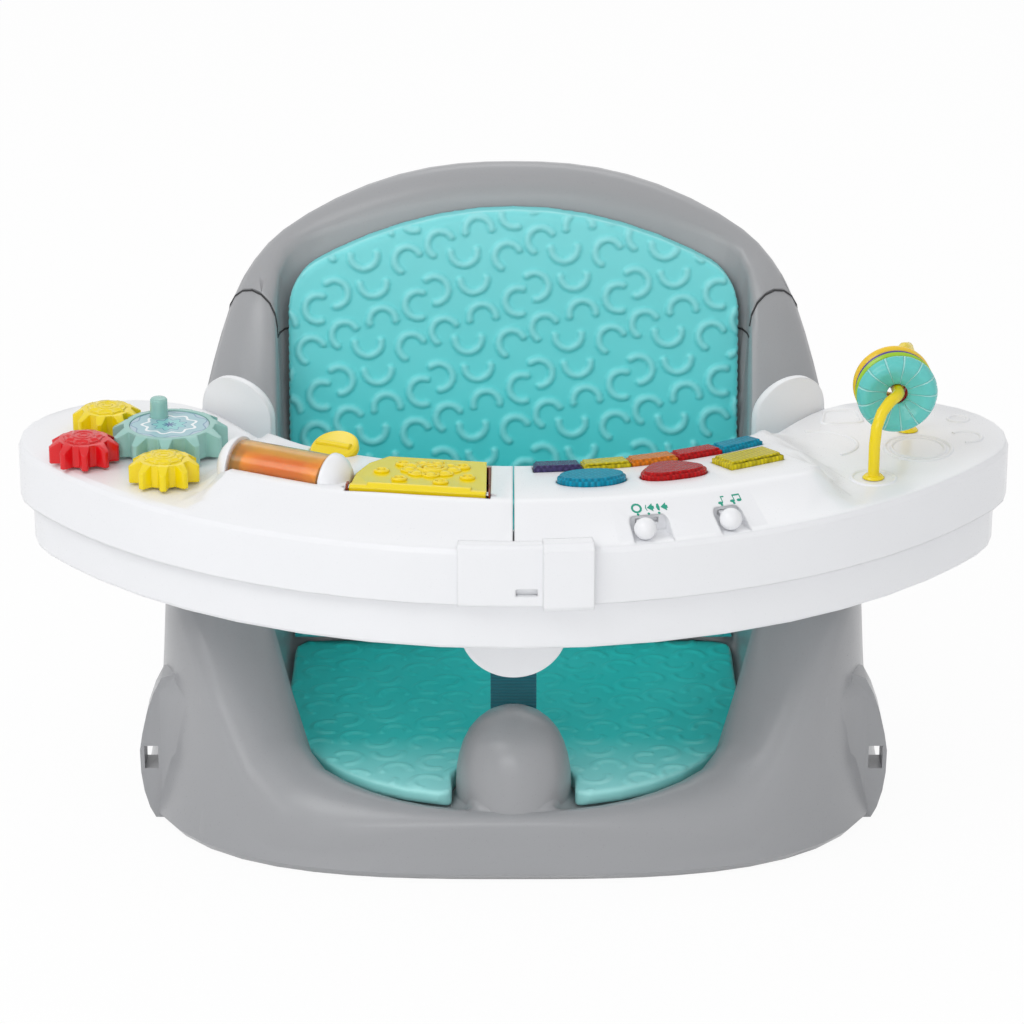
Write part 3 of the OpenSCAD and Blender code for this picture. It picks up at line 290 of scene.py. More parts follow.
def makeStudio():
    scene.view_settings.view_transform = "Standard"
    makeSky()
    for name, settings in lamps.items():
        areaLamp(name, *settings)
    makeFloor()


makeCamera()
makeStudio()
print("camera and studio set")

# Each plastic: colour, roughness, depth of the mould's grain, rounding of its edges in mm
plastic = {
    "grey": ("#a1a2a5", 0.28, 0.25, 0),
    "white": ("#f0f1f4", 0.28, 0.04, 1.6),
    "yellow": ("#f2d808", 0.17, 0.05, 0.9),
    "red": ("#dc1019", 0.17, 0.05, 0.9),
    "seaGreen": ("#94c4bc", 0.20, 0.05, 1.0),
    "darkRed": ("#8e3a24", 0.4, 0.2, 0.4),
    "ringGreen": ("#a5cf2c", 0.18, 0.05, 0.8),
    "ringPurple": ("#54479b", 0.18, 0.05, 0.8),
    "ringOrange": ("#f4cb26", 0.18, 0.05, 0.8),
    "printGreen": ("#0f9c82", 0.35, 0.0, 0.1),
    "rubber": ("#39393b", 0.7, 0.6, 0.5),
    "board": ("#2f7d4f", 0.4, 0.3, 0.2),
    "speaker": ("#3d3d40", 0.6, 0.4, 0.4),
    "cell": ("#7b8a96", 0.35, 0.1, 0.4),
}

# Sizes and depth in mm; the grain of about 0.3 mm is drawn at 0.8 mm so that it shows
mould = {"cloud": 60, "cloudShade": 0.965, "grain": 0.8, "depth": 0.12, "glossier": 0.04,
         "duller": 0.06, "refraction": 1.49}


def mouldedPlastic(name, colour, roughness, grain, rounding):
    # Injection-moulded polypropylene or ABS: even colour, soft gloss, faint grain, soft edges
    material, tree, shader = newMaterial(name)
    place = inMillimetres(tree)
    base = linear(colour)
    cloud = addNode(tree, "ShaderNodeTexNoise", {
        "Vector": place, "Scale": 1 / mould["cloud"], "Detail": 2.0})
    tint = addNode(tree, "ShaderNodeMix", {
        "Factor": cloud.outputs["Fac"], "A": darker(base, mould["cloudShade"]), "B": base},
        data_type="RGBA")
    fine = addNode(tree, "ShaderNodeTexNoise", {
        "Vector": place, "Scale": 1 / mould["grain"], "Detail": 3.0, "Roughness": 0.6})
    gloss = addNode(tree, "ShaderNodeMapRange", {
        "Value": fine.outputs["Fac"], "To Min": roughness - mould["glossier"],
        "To Max": roughness + mould["duller"]})
    bump = addNode(tree, "ShaderNodeBump", {
        "Height": fine.outputs["Fac"], "Strength": grain, "Distance": mould["depth"] * mm})
    if rounding:
        edges = addNode(tree, "ShaderNodeBevel", {"Radius": rounding * mm}, samples=6)
        setInputs(tree, bump, {"Normal": edges.outputs[0]})
    setInputs(tree, shader, {
        "Base Color": tint.outputs[2], "Roughness": gloss.outputs[0],
        "Normal": bump.outputs[0], "IOR": mould["refraction"]})
    return material


plasticOf = {key: mouldedPlastic(key + " moulded plastic", *values)
             for key, values in plastic.items()}

# Sizes and depth in mm; the pores of 0.2 mm are drawn at 0.7 mm so that they show
foam = {"cloud": 45, "cloudShare": 0.12, "pores": 0.7, "depth": 0.2, "roughness": 0.36,
        "sheen": 0.06, "sheenRoughness": 0.4}


def closedCellFoam(name, shadedEnd, litEnd, pale, axis, start, end):
    # Moulded EVA foam with a tight skin: satin, with painted light and shade along one axis, and
    # a painted highlight over ridges and round the rim
    material, tree, shader = newMaterial(name)
    place = inMillimetres(tree)
    cloud = addNode(tree, "ShaderNodeTexNoise", {
        "Vector": place, "Scale": 1 / foam["cloud"], "Detail": 3.0})
    # Painted light and shade: paler towards one end and darker towards the other, for how the
    # light falls on the pad
    level = addNode(tree, "ShaderNodeSeparateXYZ", {0: place})
    litShare = addNode(tree, "ShaderNodeMapRange", {
        "Value": level.outputs[axis], "From Min": start, "From Max": end})
    # Random mottle, plus the painted light share
    mottleAndLight = addNode(tree, "ShaderNodeMath", {
        0: cloud.outputs["Fac"], 1: foam["cloudShare"], 2: litShare.outputs[0]},
        operation="MULTIPLY_ADD")
    tint = addNode(tree, "ShaderNodeMix", {
        "Factor": mottleAndLight.outputs[0], "A": linear(shadedEnd), "B": linear(litEnd)}, data_type="RGBA")
    # Painted highlight: the colour turns towards the pale one over ridges and round the rim
    highlightShare = addNode(tree, "ShaderNodeAttribute", attribute_name="highlightShare")
    milky = addNode(tree, "ShaderNodeMix", {
        "Factor": highlightShare.outputs["Fac"], "A": tint.outputs[2], "B": linear(pale)},
        data_type="RGBA")
    pores = addNode(tree, "ShaderNodeTexNoise", {
        "Vector": place, "Scale": 1 / foam["pores"], "Detail": 4.0})
    bump = addNode(tree, "ShaderNodeBump", {
        "Height": pores.outputs["Fac"], "Strength": 0.15, "Distance": foam["depth"] * mm})
    setInputs(tree, shader, {
        "Base Color": milky.outputs[2], "Normal": bump.outputs[0],
        "Roughness": foam["roughness"], "Sheen Weight": foam["sheen"],
        "Sheen Roughness": foam["sheenRoughness"]})
    return material


# Each foam: colours at its shaded and lit ends, the painted highlight's colour, and the axis and
# span of the painted light in mm. Both pads are one foam, so their different colours are painted
# light and shade
foamOf = {
    "back_pad": closedCellFoam("teal foam back", "#20d2d5", "#7ce0e4", "#b8ecee", "Z", 130, 300),
    "seat_pad": closedCellFoam("teal foam seat", "#00c8c2", "#acf4f2", "#b4f4f2", "Y", -45, -122),
}

# Dimples and depths in mm, with the dimples' rows turned by 45 degrees
clear = {"dimples": 2.3, "turn": 0.785, "depth": 0.8, "rounding": 1.2, "deepShade": 0.2,
         "roughness": 0.15, "refraction": 1.42, "gloss": 0.2, "milk": 0.2, "milkDepth": 3}


def clearPlastic(name, colour):
    # Tinted see-through polycarbonate over a light chamber, with a stippled inside face
    material, tree, shader = newMaterial(name)
    cells = addNode(tree, "ShaderNodeTexVoronoi", {
        "Vector": inMillimetres(tree, Rotation=(0, 0, clear["turn"])),
        "Scale": 1 / clear["dimples"], "Randomness": 0.0}, voronoi_dimensions="2D")
    # Thicker between the dimples, so the tint is deeper there
    base = linear(colour)
    tint = addNode(tree, "ShaderNodeMix", {
        "Factor": cells.outputs["Distance"], "A": base, "B": darker(base, clear["deepShade"])},
        data_type="RGBA")
    edges = addNode(tree, "ShaderNodeBevel", {"Radius": clear["rounding"] * mm}, samples=4)
    bump = addNode(tree, "ShaderNodeBump", {
        "Height": cells.outputs["Distance"], "Strength": 0.8,
        "Distance": clear["depth"] * mm, "Normal": edges.outputs[0]}, invert=True)
    setInputs(tree, shader, {
        "Base Color": tint.outputs[2], "Normal": bump.outputs[0],
        "Roughness": clear["roughness"], "IOR": clear["refraction"],
        "Specular IOR Level": clear["gloss"], "Subsurface Weight": clear["milk"],
        "Subsurface Radius": (1, 1, 1), "Subsurface Scale": clear["milkDepth"] * mm})
    return material


clearOf = {key: clearPlastic(key + " clear plastic", colour) for key, colour in (
    ("purple", "#4b4274"), ("lemon", "#ead81c"), ("orange", "#f28a1c"), ("red", "#cc1014"),
    ("blue", "#009fc2"))}

# Middle, groove depth and milkDepth in mm; a groove takes the last tenth of its wave
ring = {"middle": (202.9, -64.2, 247.4), "grooves": 13, "grooveFrom": 0.9, "depth": 0.8,
        "colour": "#62c8c3", "grooveHighlight": "#a8e6e2", "roughness": 0.22, "milk": 0.25,
        "milkDepth": 4}


def groovedRing():
    # Milky teal plastic ring with pressed grooves across it; the grooves' paler colour is a
    # painted highlight
    material, tree, shader = newMaterial("milky teal ring plastic")
    place = inMillimetres(tree, Location=tuple(-c for c in ring["middle"]))
    parts = addNode(tree, "ShaderNodeSeparateXYZ", {0: place}).outputs
    angle = addNode(tree, "ShaderNodeMath", {0: parts["Z"], 1: parts["X"]},
                    operation="ARCTAN2")
    turns = addNode(tree, "ShaderNodeMath", {0: angle.outputs[0], 1: ring["grooves"]},
                    operation="MULTIPLY")
    wave = addNode(tree, "ShaderNodeMath", {0: turns.outputs[0]}, operation="COSINE")
    cut = addNode(tree, "ShaderNodeMapRange", {
        "Value": wave.outputs[0], "From Min": ring["grooveFrom"], "From Max": 1.0})
    # Painted highlight in the grooves
    tint = addNode(tree, "ShaderNodeMix", {
        "Factor": cut.outputs[0], "A": linear(ring["colour"]),
        "B": linear(ring["grooveHighlight"])}, data_type="RGBA")
    bump = addNode(tree, "ShaderNodeBump", {
        "Height": cut.outputs[0], "Strength": 0.8, "Distance": ring["depth"] * mm},
        invert=True)
    setInputs(tree, shader, {
        "Base Color": tint.outputs[2], "Normal": bump.outputs[0],
        "Roughness": ring["roughness"], "Subsurface Weight": ring["milk"],
        "Subsurface Radius": (1, 1, 1), "Subsurface Scale": ring["milkDepth"] * mm})
    return material


def amberTube():
    # Clear amber tube with a frosted inside: warm and bright, the core shows softly through it
    material, tree, shader = newMaterial("amber clear tube")
    frost = addNode(tree, "ShaderNodeTexNoise", {
        "Vector": inMillimetres(tree), "Scale": 1 / 6, "Detail": 2.0})
    tint = addNode(tree, "ShaderNodeMix", {
        "Factor": frost.outputs["Fac"], "A": linear("#ffc850"), "B": linear("#ffda7a")},
        data_type="RGBA")
    setInputs(tree, shader, {
        "Base Color": tint.outputs[2], "Roughness": 0.3, "IOR": 1.2,
        "Transmission Weight": 0.88, "Coat Weight": 0.7, "Coat Roughness": 0.1})
    return material


# The core's middle and the span of its fading in mm, and its heading in degrees
coreLight = {"middle": (-118.8, -100.3), "heading": -27.2, "fade": (10.0, 24.0)}


def glowingCore():
    # Orange core lit from inside: red in its middle, amber towards its ends
    material, tree, shader = newMaterial("orange lit core")
    x, y = coreLight["middle"]
    heading = math.radians(coreLight["heading"])
    along = addNode(tree, "ShaderNodeVectorMath", {
        0: inMillimetres(tree, Location=(-x, -y, 0)),
        1: (math.cos(heading), math.sin(heading), 0)}, operation="DOT_PRODUCT")
    away = addNode(tree, "ShaderNodeMath", {0: along.outputs["Value"]}, operation="ABSOLUTE")
    share = addNode(tree, "ShaderNodeMapRange", {
        "Value": away.outputs[0], "From Min": coreLight["fade"][0],
        "From Max": coreLight["fade"][1]}, interpolation_type="SMOOTHSTEP")
    tint = addNode(tree, "ShaderNodeMix", {
        "Factor": share.outputs[0], "A": linear("#dc4a20"), "B": linear("#f6c02c")},
        data_type="RGBA")
    setInputs(tree, shader, {"Base Color": tint.outputs[2], "Roughness": 0.5})
    return material


def wovenWebbing():
    # Woven polyester webbing: fine ribs across, 0.9 mm apart
    material, tree, shader = newMaterial("dark teal webbing")
    ribs = addNode(tree, "ShaderNodeTexWave", {
        "Vector": inMillimetres(tree), "Scale": 0.35, "Distortion": 0.6, "Detail": 2.0},
        bands_direction="Z")
    tint = addNode(tree, "ShaderNodeMix", {
        "Factor": ribs.outputs["Fac"], "A": linear("#075a66"), "B": linear("#128496")},
        data_type="RGBA")
    bump = addNode(tree, "ShaderNodeBump", {
        "Height": ribs.outputs["Fac"], "Strength": 0.7, "Distance": 0.4 * mm})
    setInputs(tree, shader, {"Base Color": tint.outputs[2], "Normal": bump.outputs[0],
                             "Roughness": 0.8, "Sheen Weight": 0.4})
    return material


def turnedSteel():
    # Zinc-plated steel pins and screws: cool, slightly satin metal
    material, tree, shader = newMaterial("zinc-plated steel")
    fine = addNode(tree, "ShaderNodeTexNoise", {"Vector": inMillimetres(tree), "Scale": 1 / 0.5})
    gloss = addNode(tree, "ShaderNodeMapRange", {
        "Value": fine.outputs["Fac"], "To Min": 0.25, "To Max": 0.4})
    setInputs(tree, shader, {"Base Color": linear("#b9bdc2"), "Metallic": 1.0,
                             "Roughness": gloss.outputs[0]})
    return material


# Middle, radius and the petals' wave in mm; each colour starts at its share of the radius
disc = {"middle": (-184, -39), "radius": 22.5, "petals": 9.0, "wave": 1.3,
        "bands": [(0.0, "#4f6f9a"), (0.12, "#8ccbcb"), (0.34, "#5f86a6"), (0.37, "#9ec3cc"),
                  (0.56, "#eef2f4"), (0.63, "#9ec3cc"), (0.84, "#7f9fb6"), (0.88, "#a9c2cf")]}


def printedDisc():
    # Printed film under a satin lacquer: a plain ring-and-petal pattern in greys and teal
    material, tree, shader = newMaterial("printed film disc")
    x, y = disc["middle"]
    place = inMillimetres(tree, Location=(-x, -y, 0))
    parts = addNode(tree, "ShaderNodeSeparateXYZ", {0: place}).outputs
    flat = addNode(tree, "ShaderNodeCombineXYZ", {"X": parts["X"], "Y": parts["Y"]})
    radius = addNode(tree, "ShaderNodeVectorMath", {0: flat.outputs[0]}, operation="LENGTH")
    angle = addNode(tree, "ShaderNodeMath", {0: parts["Y"], 1: parts["X"]},
                    operation="ARCTAN2")
    turns = addNode(tree, "ShaderNodeMath", {0: angle.outputs[0], 1: disc["petals"]},
                    operation="MULTIPLY")
    wave = addNode(tree, "ShaderNodeMath", {0: turns.outputs[0]}, operation="COSINE")
    bent = addNode(tree, "ShaderNodeMath", {
        0: wave.outputs[0], 1: disc["wave"], 2: radius.outputs["Value"]},
        operation="MULTIPLY_ADD")
    scaled = addNode(tree, "ShaderNodeMath", {0: bent.outputs[0], 1: disc["radius"]},
                     operation="DIVIDE")
    ramp = addNode(tree, "ShaderNodeValToRGB", {0: scaled.outputs[0]})
    ramp.color_ramp.interpolation = "CONSTANT"
    elements = ramp.color_ramp.elements
    while len(elements) < len(disc["bands"]):
        elements.new(0.5)
    for element, (position, colour) in zip(elements, disc["bands"]):
        element.position = position
        element.color = linear(colour)
    setInputs(tree, shader, {"Base Color": ramp.outputs["Color"], "Roughness": 0.25})
    return material


tealRing = groovedRing()
amber = amberTube()
core = glowingCore()
webbing = wovenWebbing()
steel = turnedSteel()
discPrint = printedDisc()
print("materials made")

# Rounding of the real edges in mm, and the finish
shellPieces = {"base_shell": 0.8, "back_shell_top": 0.8}
whitePieces = {
    "feeding_tray": 0.8, "tray_grip_left": 1.6, "tray_grip_right": 1.6, "release_tab": 1.2,
    "gear_tray_housing": 0.5, "music_tray_housing": 0.5, "gear_tray_cover": 0.4,
    "music_tray_cover": 0.4, "gear_axles": 0.3, "dial_post": 0.3, "front_clip": 0.7,
    "buckle": 1.5, "battery_door": 0.3, "volume_switch": 0.3, "mode_switch": 0.3,
}
colourPieces = {
    "big_gear": ("seaGreen", 0.8), "gear_knob": ("seaGreen", 1.0),
    "small_gear_back": ("yellow", 0.7), "small_gear_left": ("red", 0.7),
    "small_gear_front": ("yellow", 0.7), "thumb_dial": ("yellow", 0.8),
    "flip_door": ("yellow", 0.8), "door_pocket": ("darkRed", 0.3), "bead_wire": ("yellow", 0.2),
    "ring_green": ("ringGreen", 0.4), "ring_purple": ("ringPurple", 0.4),
    "ring_yellow": ("ringOrange", 0.6), "bead_red": ("red", 0.6), "floor_feet": ("rubber", 0.5),
    "circuit_board": ("board", 0), "speaker": ("speaker", 0), "batteries": ("cell", 0),
}
clearPieces = {
    "key_1": "purple", "key_2": "lemon", "key_3": "orange", "key_4": "red", "key_5": "blue",
    "button_oval": "blue", "button_triangle": "red", "button_oblong": "lemon",
}


def makeRigid():
    for node, width in shellPieces.items():
        refined(node, plasticOf["grey"], width, smoothAngle=40, limit=50)
    for node, width in whitePieces.items():
        refined(node, plasticOf["white"], width)
    for node, (key, width) in colourPieces.items():
        refined(node, plasticOf[key], width)
    for node, key in clearPieces.items():
        refined(node, clearOf[key], 1.2, 3)
    refined("ring_teal", tealRing, 0.8)
    refined("roller_barrel", amber, 0.5)
    refined("roller_core", core, 0.4)
    refined("gear_disc", discPrint, 0.2)
    for node in ("tab_pin", "roller_axle", "door_pin", "tray_screws"):
        refined(node, steel, 0.15)


makeRigid()
print("rigid pieces made")

# Concave fillet where the post runs into the seat's lip, in mm and degrees. Outside the wall
# radius it follows the lip's own fall, and it lies sunk a little into the shell.
postFoot = {"centre": (0, -100), "inner": 30.6, "reach": 6.5, "wall": 31.4, "sink": 0.15,
            "from": -205, "to": 25, "columns": 72, "rows": 6}


def makePostFoot():
    shell = surfaceOf("base_shell")
    x, y = postFoot["centre"]
    edge = postFoot["inner"] + postFoot["reach"]
    bm = bmesh.new()
    bmesh.ops.create_grid(bm, x_segments=postFoot["columns"], y_segments=postFoot["rows"],
                          size=0.5)
    for vert in bm.verts:
        turn = math.radians(postFoot["from"]
                            + (postFoot["to"] - postFoot["from"]) * (vert.co.x + 0.5))
        share = vert.co.y + 0.5
        bend = share * math.pi / 2
        outward = postFoot["inner"] + postFoot["reach"] * (1 - math.cos(bend))
        rise = postFoot["reach"] * (1 - math.sin(bend))
        place = (x + outward * math.cos(turn), y + outward * math.sin(turn))
        level = ground = heightAt(shell, x + edge * math.cos(turn), y + edge * math.sin(turn))
        if outward >= postFoot["wall"]:
            level = min(ground, heightAt(shell, *place)) * share + ground * (1 - share)
        vert.co = Vector((*place, level + rise - postFoot["sink"])) * mm
    bmesh.ops.recalc_face_normals(bm, faces=bm.faces)
    newPiece("post_foot", bm, plasticOf["grey"], "seat", smoothAngle=80)


makePostFoot()

# Smooth skin that carries the flank out to each strap ear, in mm. The ear's outline is given
# as x at each z, and the probe is the run over which the flank's own slope is taken.
earFairing = {"inner": 166, "outer": 193, "face": -59.2, "bottom": 3, "top": 84, "columns": 24,
              "rows": 26, "inset": 1.5, "probe": 4, "sink": 0.35, "wellBefore": -400,
              "edge": [(1, 196.5), (17, 202.4), (41, 204.2), (64, 199.6), (75, 195.8),
                       (88, 182)]}


def eased(t, start, slope, end):
    # From start to end, leaving at the given slope and arriving level
    return ((2 * t ** 3 - 3 * t ** 2 + 1) * start + (t ** 3 - 2 * t ** 2 + t) * slope
            + (3 * t ** 2 - 2 * t ** 3) * end)


def makeEarFairing(side):
    shell = surfaceOf("base_shell")

    def frontAt(x, z):
        start = Vector((side * x * mm, earFairing["wellBefore"] * mm, z * mm))
        return shell.ray_cast(start, Vector((0, 1, 0)))[0].y / mm

    bm = bmesh.new()
    bmesh.ops.create_grid(bm, x_segments=earFairing["columns"], y_segments=earFairing["rows"],
                          size=0.5)
    inner, probe = earFairing["inner"], earFairing["probe"]
    for vert in bm.verts:
        across = vert.co.x + 0.5
        z = earFairing["bottom"] + (earFairing["top"] - earFairing["bottom"]) * (vert.co.y + 0.5)
        earEdge = float(np.interp(z, *zip(*earFairing["edge"])))
        width = min(earFairing["outer"], earEdge - earFairing["inset"]) - inner
        start = frontAt(inner, z)
        slope = (start - frontAt(inner - probe, z)) / probe * width
        y = eased(across, start, slope, earFairing["face"])
        if across in (0.0, 1.0):
            y += earFairing["sink"]
        vert.co = Vector((side * (inner + width * across), y, z)) * mm
    bmesh.ops.recalc_face_normals(bm, faces=bm.faces)
    if sum(face.normal.y for face in bm.faces) > 0:
        bmesh.ops.reverse_faces(bm, faces=bm.faces)
    newPiece("ear_fairing_" + ("right" if side > 0 else "left"), bm, plasticOf["grey"], "seat",
             smoothAngle=80)


for side in (-1, 1):
    makeEarFairing(side)

# Painted shadow: a dark bead in the seam between the shell and its top arch, for the shade in the
# gap.
# Sizes in mm, angle in degrees
seam = {"reach": 1.2, "radius": 0.55, "sharp": 35}


def makeSeamShadow():
    arch = surfaceOf("back_shell_top")
    lip = cadCopy("base_shell")
    lines = [[tuple(c / mm for c in vert.co) for vert in edge.verts] for edge in lip.edges
             if edge.calc_face_angle(0) > math.radians(seam["sharp"])
             and all(arch.find_nearest(vert.co)[3] < seam["reach"] * mm for vert in edge.verts)]
    lip.free()
    bm = bmesh.new()
    # Dark rubber colour: painted shadow in the seam
    addBeads(bm, lines, seam["radius"])
    newPiece("shell_seam_shadow", bm, plasticOf["rubber"], "seat", smoothAngle=80)


makeSeamShadow()
print("fairings and seam made")

# Raised flower on the lid, in mm from the lid's middle along its hinge and away from it.
# Each dome has two radii and a rise.
lidFlower = {
    "lidMiddle": (-49, -109), "turn": -9.2, "probe": 10, "middle": (4.5, 9.5),
    "swirl": {"start": 1.0, "growth": 7.2, "turns": 2.1, "steps": 72, "height": 0.9,
              "bead": 1.35},
    "petal": {"count": 9, "reach": 11.5, "dome": (3.6, 2.7, 2.0), "ring": (3.9, 3.4),
              "height": 0.3, "bead": 0.8, "steps": 20},
    "rosette": {"dome": (1.6, 1.6, 1.8), "domeHeight": 0.2, "ring": 3.2, "height": 0.5,
                "bead": 1.1, "steps": 24,
                "places": [(-20, 1), (-11.5, 17), (20, 17), (26, -3), (14, -15), (-8, -13)]},
}


def lidPlace():
    # Where the lid's top lies: its middle, and its own directions from three points on it
    lid = surfaceOf("flip_door")
    x, y = lidFlower["lidMiddle"]
    turn = math.radians(lidFlower["turn"])
    along = (math.cos(turn) * lidFlower["probe"], math.sin(turn) * lidFlower["probe"])
    corners = [Vector((x + dx, y + dy, heightAt(lid, x + dx, y + dy)))
               for dx, dy in ((0, 0), along, (-along[1], along[0]))]
    axisX = (corners[1] - corners[0]).normalized()
    axisZ = axisX.cross(corners[2] - corners[0]).normalized()
    place = Matrix((axisX, axisZ.cross(axisX), axisZ)).transposed().to_4x4()
    place.translation = corners[0] * mm
    return place


def makeLidFlower():
    bm = bmesh.new()
    cx, cy = lidFlower["middle"]
    swirl, petal, rosette = lidFlower["swirl"], lidFlower["petal"], lidFlower["rosette"]
    line = []
    for i in range(swirl["steps"] + 1):
        t = i / swirl["steps"] * swirl["turns"] * math.tau
        radius = swirl["start"] + swirl["growth"] * i / swirl["steps"]
        line.append((cx + radius * math.cos(t), cy + radius * math.sin(t), swirl["height"]))
    addBeads(bm, [line], swirl["bead"])
    for i in range(petal["count"]):
        t = math.tau * i / petal["count"]
        px = cx + petal["reach"] * math.cos(t)
        py = cy + petal["reach"] * math.sin(t)
        addDome(bm, px, py, 0, petal["dome"], math.degrees(t))
        addBeads(bm, [ringPoints(px, py, petal["height"], *petal["ring"],
                                 steps=petal["steps"])], petal["bead"], closed=True)
    for dx, dy in rosette["places"]:
        addBeads(bm, [ringPoints(dx, dy, rosette["height"], rosette["ring"],
                                 steps=rosette["steps"])], rosette["bead"], closed=True)
        addDome(bm, dx, dy, rosette["domeHeight"], rosette["dome"])
    bmesh.ops.transform(bm, matrix=lidPlace(), verts=bm.verts)
    newPiece("lid_flower", bm, plasticOf["yellow"], nodes["flip_door"]["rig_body"],
             smoothAngle=60)


makeLidFlower()

# Low star on each small gear's top, with rings on it: sizes in mm, headings in degrees. It
# starts below the gear's top, and its upper face is the crown share of its foot.
gearStar = {"centre": (-184, -39), "reach": 47.5, "points": 9, "outer": 11.8, "notch": 9.2,
            "below": 0.9, "rise": 0.9, "crown": 0.72, "rings": (5.6, 2.6), "bead": 0.55,
            "beadSink": 0.1,
            "gears": {"small_gear_back": (140, "yellow"), "small_gear_left": (201, "red"),
                      "small_gear_front": (271, "yellow")}}


def makeGearStar(node, heading, key):
    turn = math.radians(heading)
    x = gearStar["centre"][0] + gearStar["reach"] * math.cos(turn)
    y = gearStar["centre"][1] + gearStar["reach"] * math.sin(turn)
    top = heightAt(surfaceOf(node), x, y)
    bm = bmesh.new()
    made = bmesh.ops.create_circle(bm, cap_ends=True, segments=gearStar["points"] * 2,
                                   radius=1)["verts"]
    for i, vert in enumerate(made):
        vert.co *= (gearStar["notch"] if i % 2 else gearStar["outer"]) * mm
    raised = bmesh.ops.extrude_face_region(bm, geom=list(bm.faces))["geom"]
    lifted = [part for part in raised if isinstance(part, bmesh.types.BMVert)]
    bmesh.ops.translate(bm, verts=lifted,
                        vec=(0, 0, (gearStar["below"] + gearStar["rise"]) * mm))
    bmesh.ops.scale(bm, verts=lifted, vec=(gearStar["crown"], gearStar["crown"], 1))
    bmesh.ops.recalc_face_normals(bm, faces=bm.faces)
    bmesh.ops.translate(bm, verts=bm.verts,
                        vec=(x * mm, y * mm, (top - gearStar["below"]) * mm))
    level = top + gearStar["rise"] - gearStar["beadSink"]
    addBeads(bm, [ringPoints(x, y, level, radius) for radius in gearStar["rings"]],
             gearStar["bead"], closed=True)
    newPiece(node + "_star", bm, plasticOf[key], nodes[node]["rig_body"], smoothAngle=25)


for node, (heading, key) in gearStar["gears"].items():
    makeGearStar(node, heading, key)

# Raised rings on the right lobe, in mm and degrees: x, y, two radii, and the angles each runs
# between. A bead stops where the top falls away by more than the drop.
lobe = {"rings": [(217.5, -34, 18, 20, 0, 360), (217.5, -34, 14.5, 16, 0, 360),
                  (189.5, -80, 11.5, 11.5, 0, 360), (165, -28, 20, 20, -60, 110),
                  (243.7, 12.2, 5.5, 5.5, 0, 360), (245, -16.8, 8.5, 8.5, -100, 140)],
        "steps": 56, "bead": 1.3, "sink": 0.4, "drop": 1.5,
        "oblong": [(168.5, 4), (191, 7), (189, 27), (171, 24)], "oblongMiddle": (180, 15),
        "alongSide": (0.08, 0.35, 0.65, 0.92)}


def makeLobeRings():
    top = surfaceOf("music_tray_housing")
    bm = bmesh.new()
    for x, y, radiusX, radiusY, start, end in lobe["rings"]:
        points = ringPoints(x, y, 0, radiusX, radiusY, start, end, lobe["steps"])
        heights = [heightAt(top, px, py) for px, py, pz in points]
        found = sorted(height for height in heights if height)
        level = found[len(found) // 2]
        kept = [(px, py, level - lobe["sink"]) for (px, py, pz), height in zip(points, heights)
                if height and abs(height - level) < lobe["drop"]]
        whole = end - start == 360 and len(kept) == len(points)
        addBeads(bm, [kept], lobe["bead"], closed=whole)
    corners = lobe["oblong"]
    level = heightAt(top, *lobe["oblongMiddle"]) - lobe["sink"]
    line = [(ax + (bx - ax) * share, ay + (by - ay) * share, level)
            for (ax, ay), (bx, by) in zip(corners, corners[1:] + corners[:1])
            for share in lobe["alongSide"]]
    addBeads(bm, [line], lobe["bead"], closed=True)
    newPiece("lobe_rings", bm, plasticOf["white"], nodes["music_tray_housing"]["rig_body"],
             smoothAngle=60)


makeLobeRings()

# Printed marks by the two switches: outlines in mm about each mark's middle, and the middles
# on the console. The console's rim curves round the pivot's y at x 0.
marks = {
    "size": 1.25, "lift": 0.1, "pivot": 131, "roundSteps": 12,
    "ring": (1.4, 2.3), "rings": [(62.5, -151.3)],
    "speaker": [(-0.9, 0), (1.5, 1.9), (1.5, 0.7), (2.1, 0.7), (2.1, -0.7), (1.5, -0.7),
                (1.5, -1.9)],
    "speakers": [(68.9, -150.0), (75.9, -148.5)],
    "waves": [((67.1, -150.4), [(-0.2, 0), (0.3, 1.4), (0.6, 1.4), (0.2, 0), (0.6, -1.4),
                                (0.3, -1.4)]),
              ((73.6, -149.0), [(-0.9, 0), (-0.4, 1.5), (0.3, 1.7), (0.6, 0), (0.3, -1.7),
                                (-0.4, -1.5)])],
    "dot": 0.55, "dots": [(63.3, -154.8), (68.8, -153.6), (74.1, -152.4), (106.6, -141.4),
                          (113.0, -138.7)],
    "noteHead": (1.1, 0.65),
    "notes": [((105.7, -138.6), [(-0.4, -1.4)],
               [(0.5, -1.3), (0.5, 1.7), (2.1, 1.7), (2.1, 1.1), (0.9, 1.1), (0.9, -1.3)]),
              ((113.5, -135.4), [(-1.7, -1.2), (1.3, -1.2)],
               [(-1.0, -1.1), (-1.0, 1.7), (2.4, 1.7), (2.4, -1.1), (2.0, -1.1), (2.0, 1.0),
                (-0.6, 1.0), (-0.6, -1.1)])],
}


def addMark(bm, console, middle, outline):
    # Thin printed shape laid on the console, along the switches' own direction there
    x, y = middle
    turn = math.atan2(x, marks["pivot"] - y)
    verts = []
    for dx, dy in outline:
        dx, dy = dx * marks["size"], dy * marks["size"]
        px = x + dx * math.cos(turn) - dy * math.sin(turn)
        py = y + dx * math.sin(turn) + dy * math.cos(turn)
        z = heightAt(console, px, py) + marks["lift"]
        verts.append(bm.verts.new((px * mm, py * mm, z * mm)))
    bm.faces.new(verts)


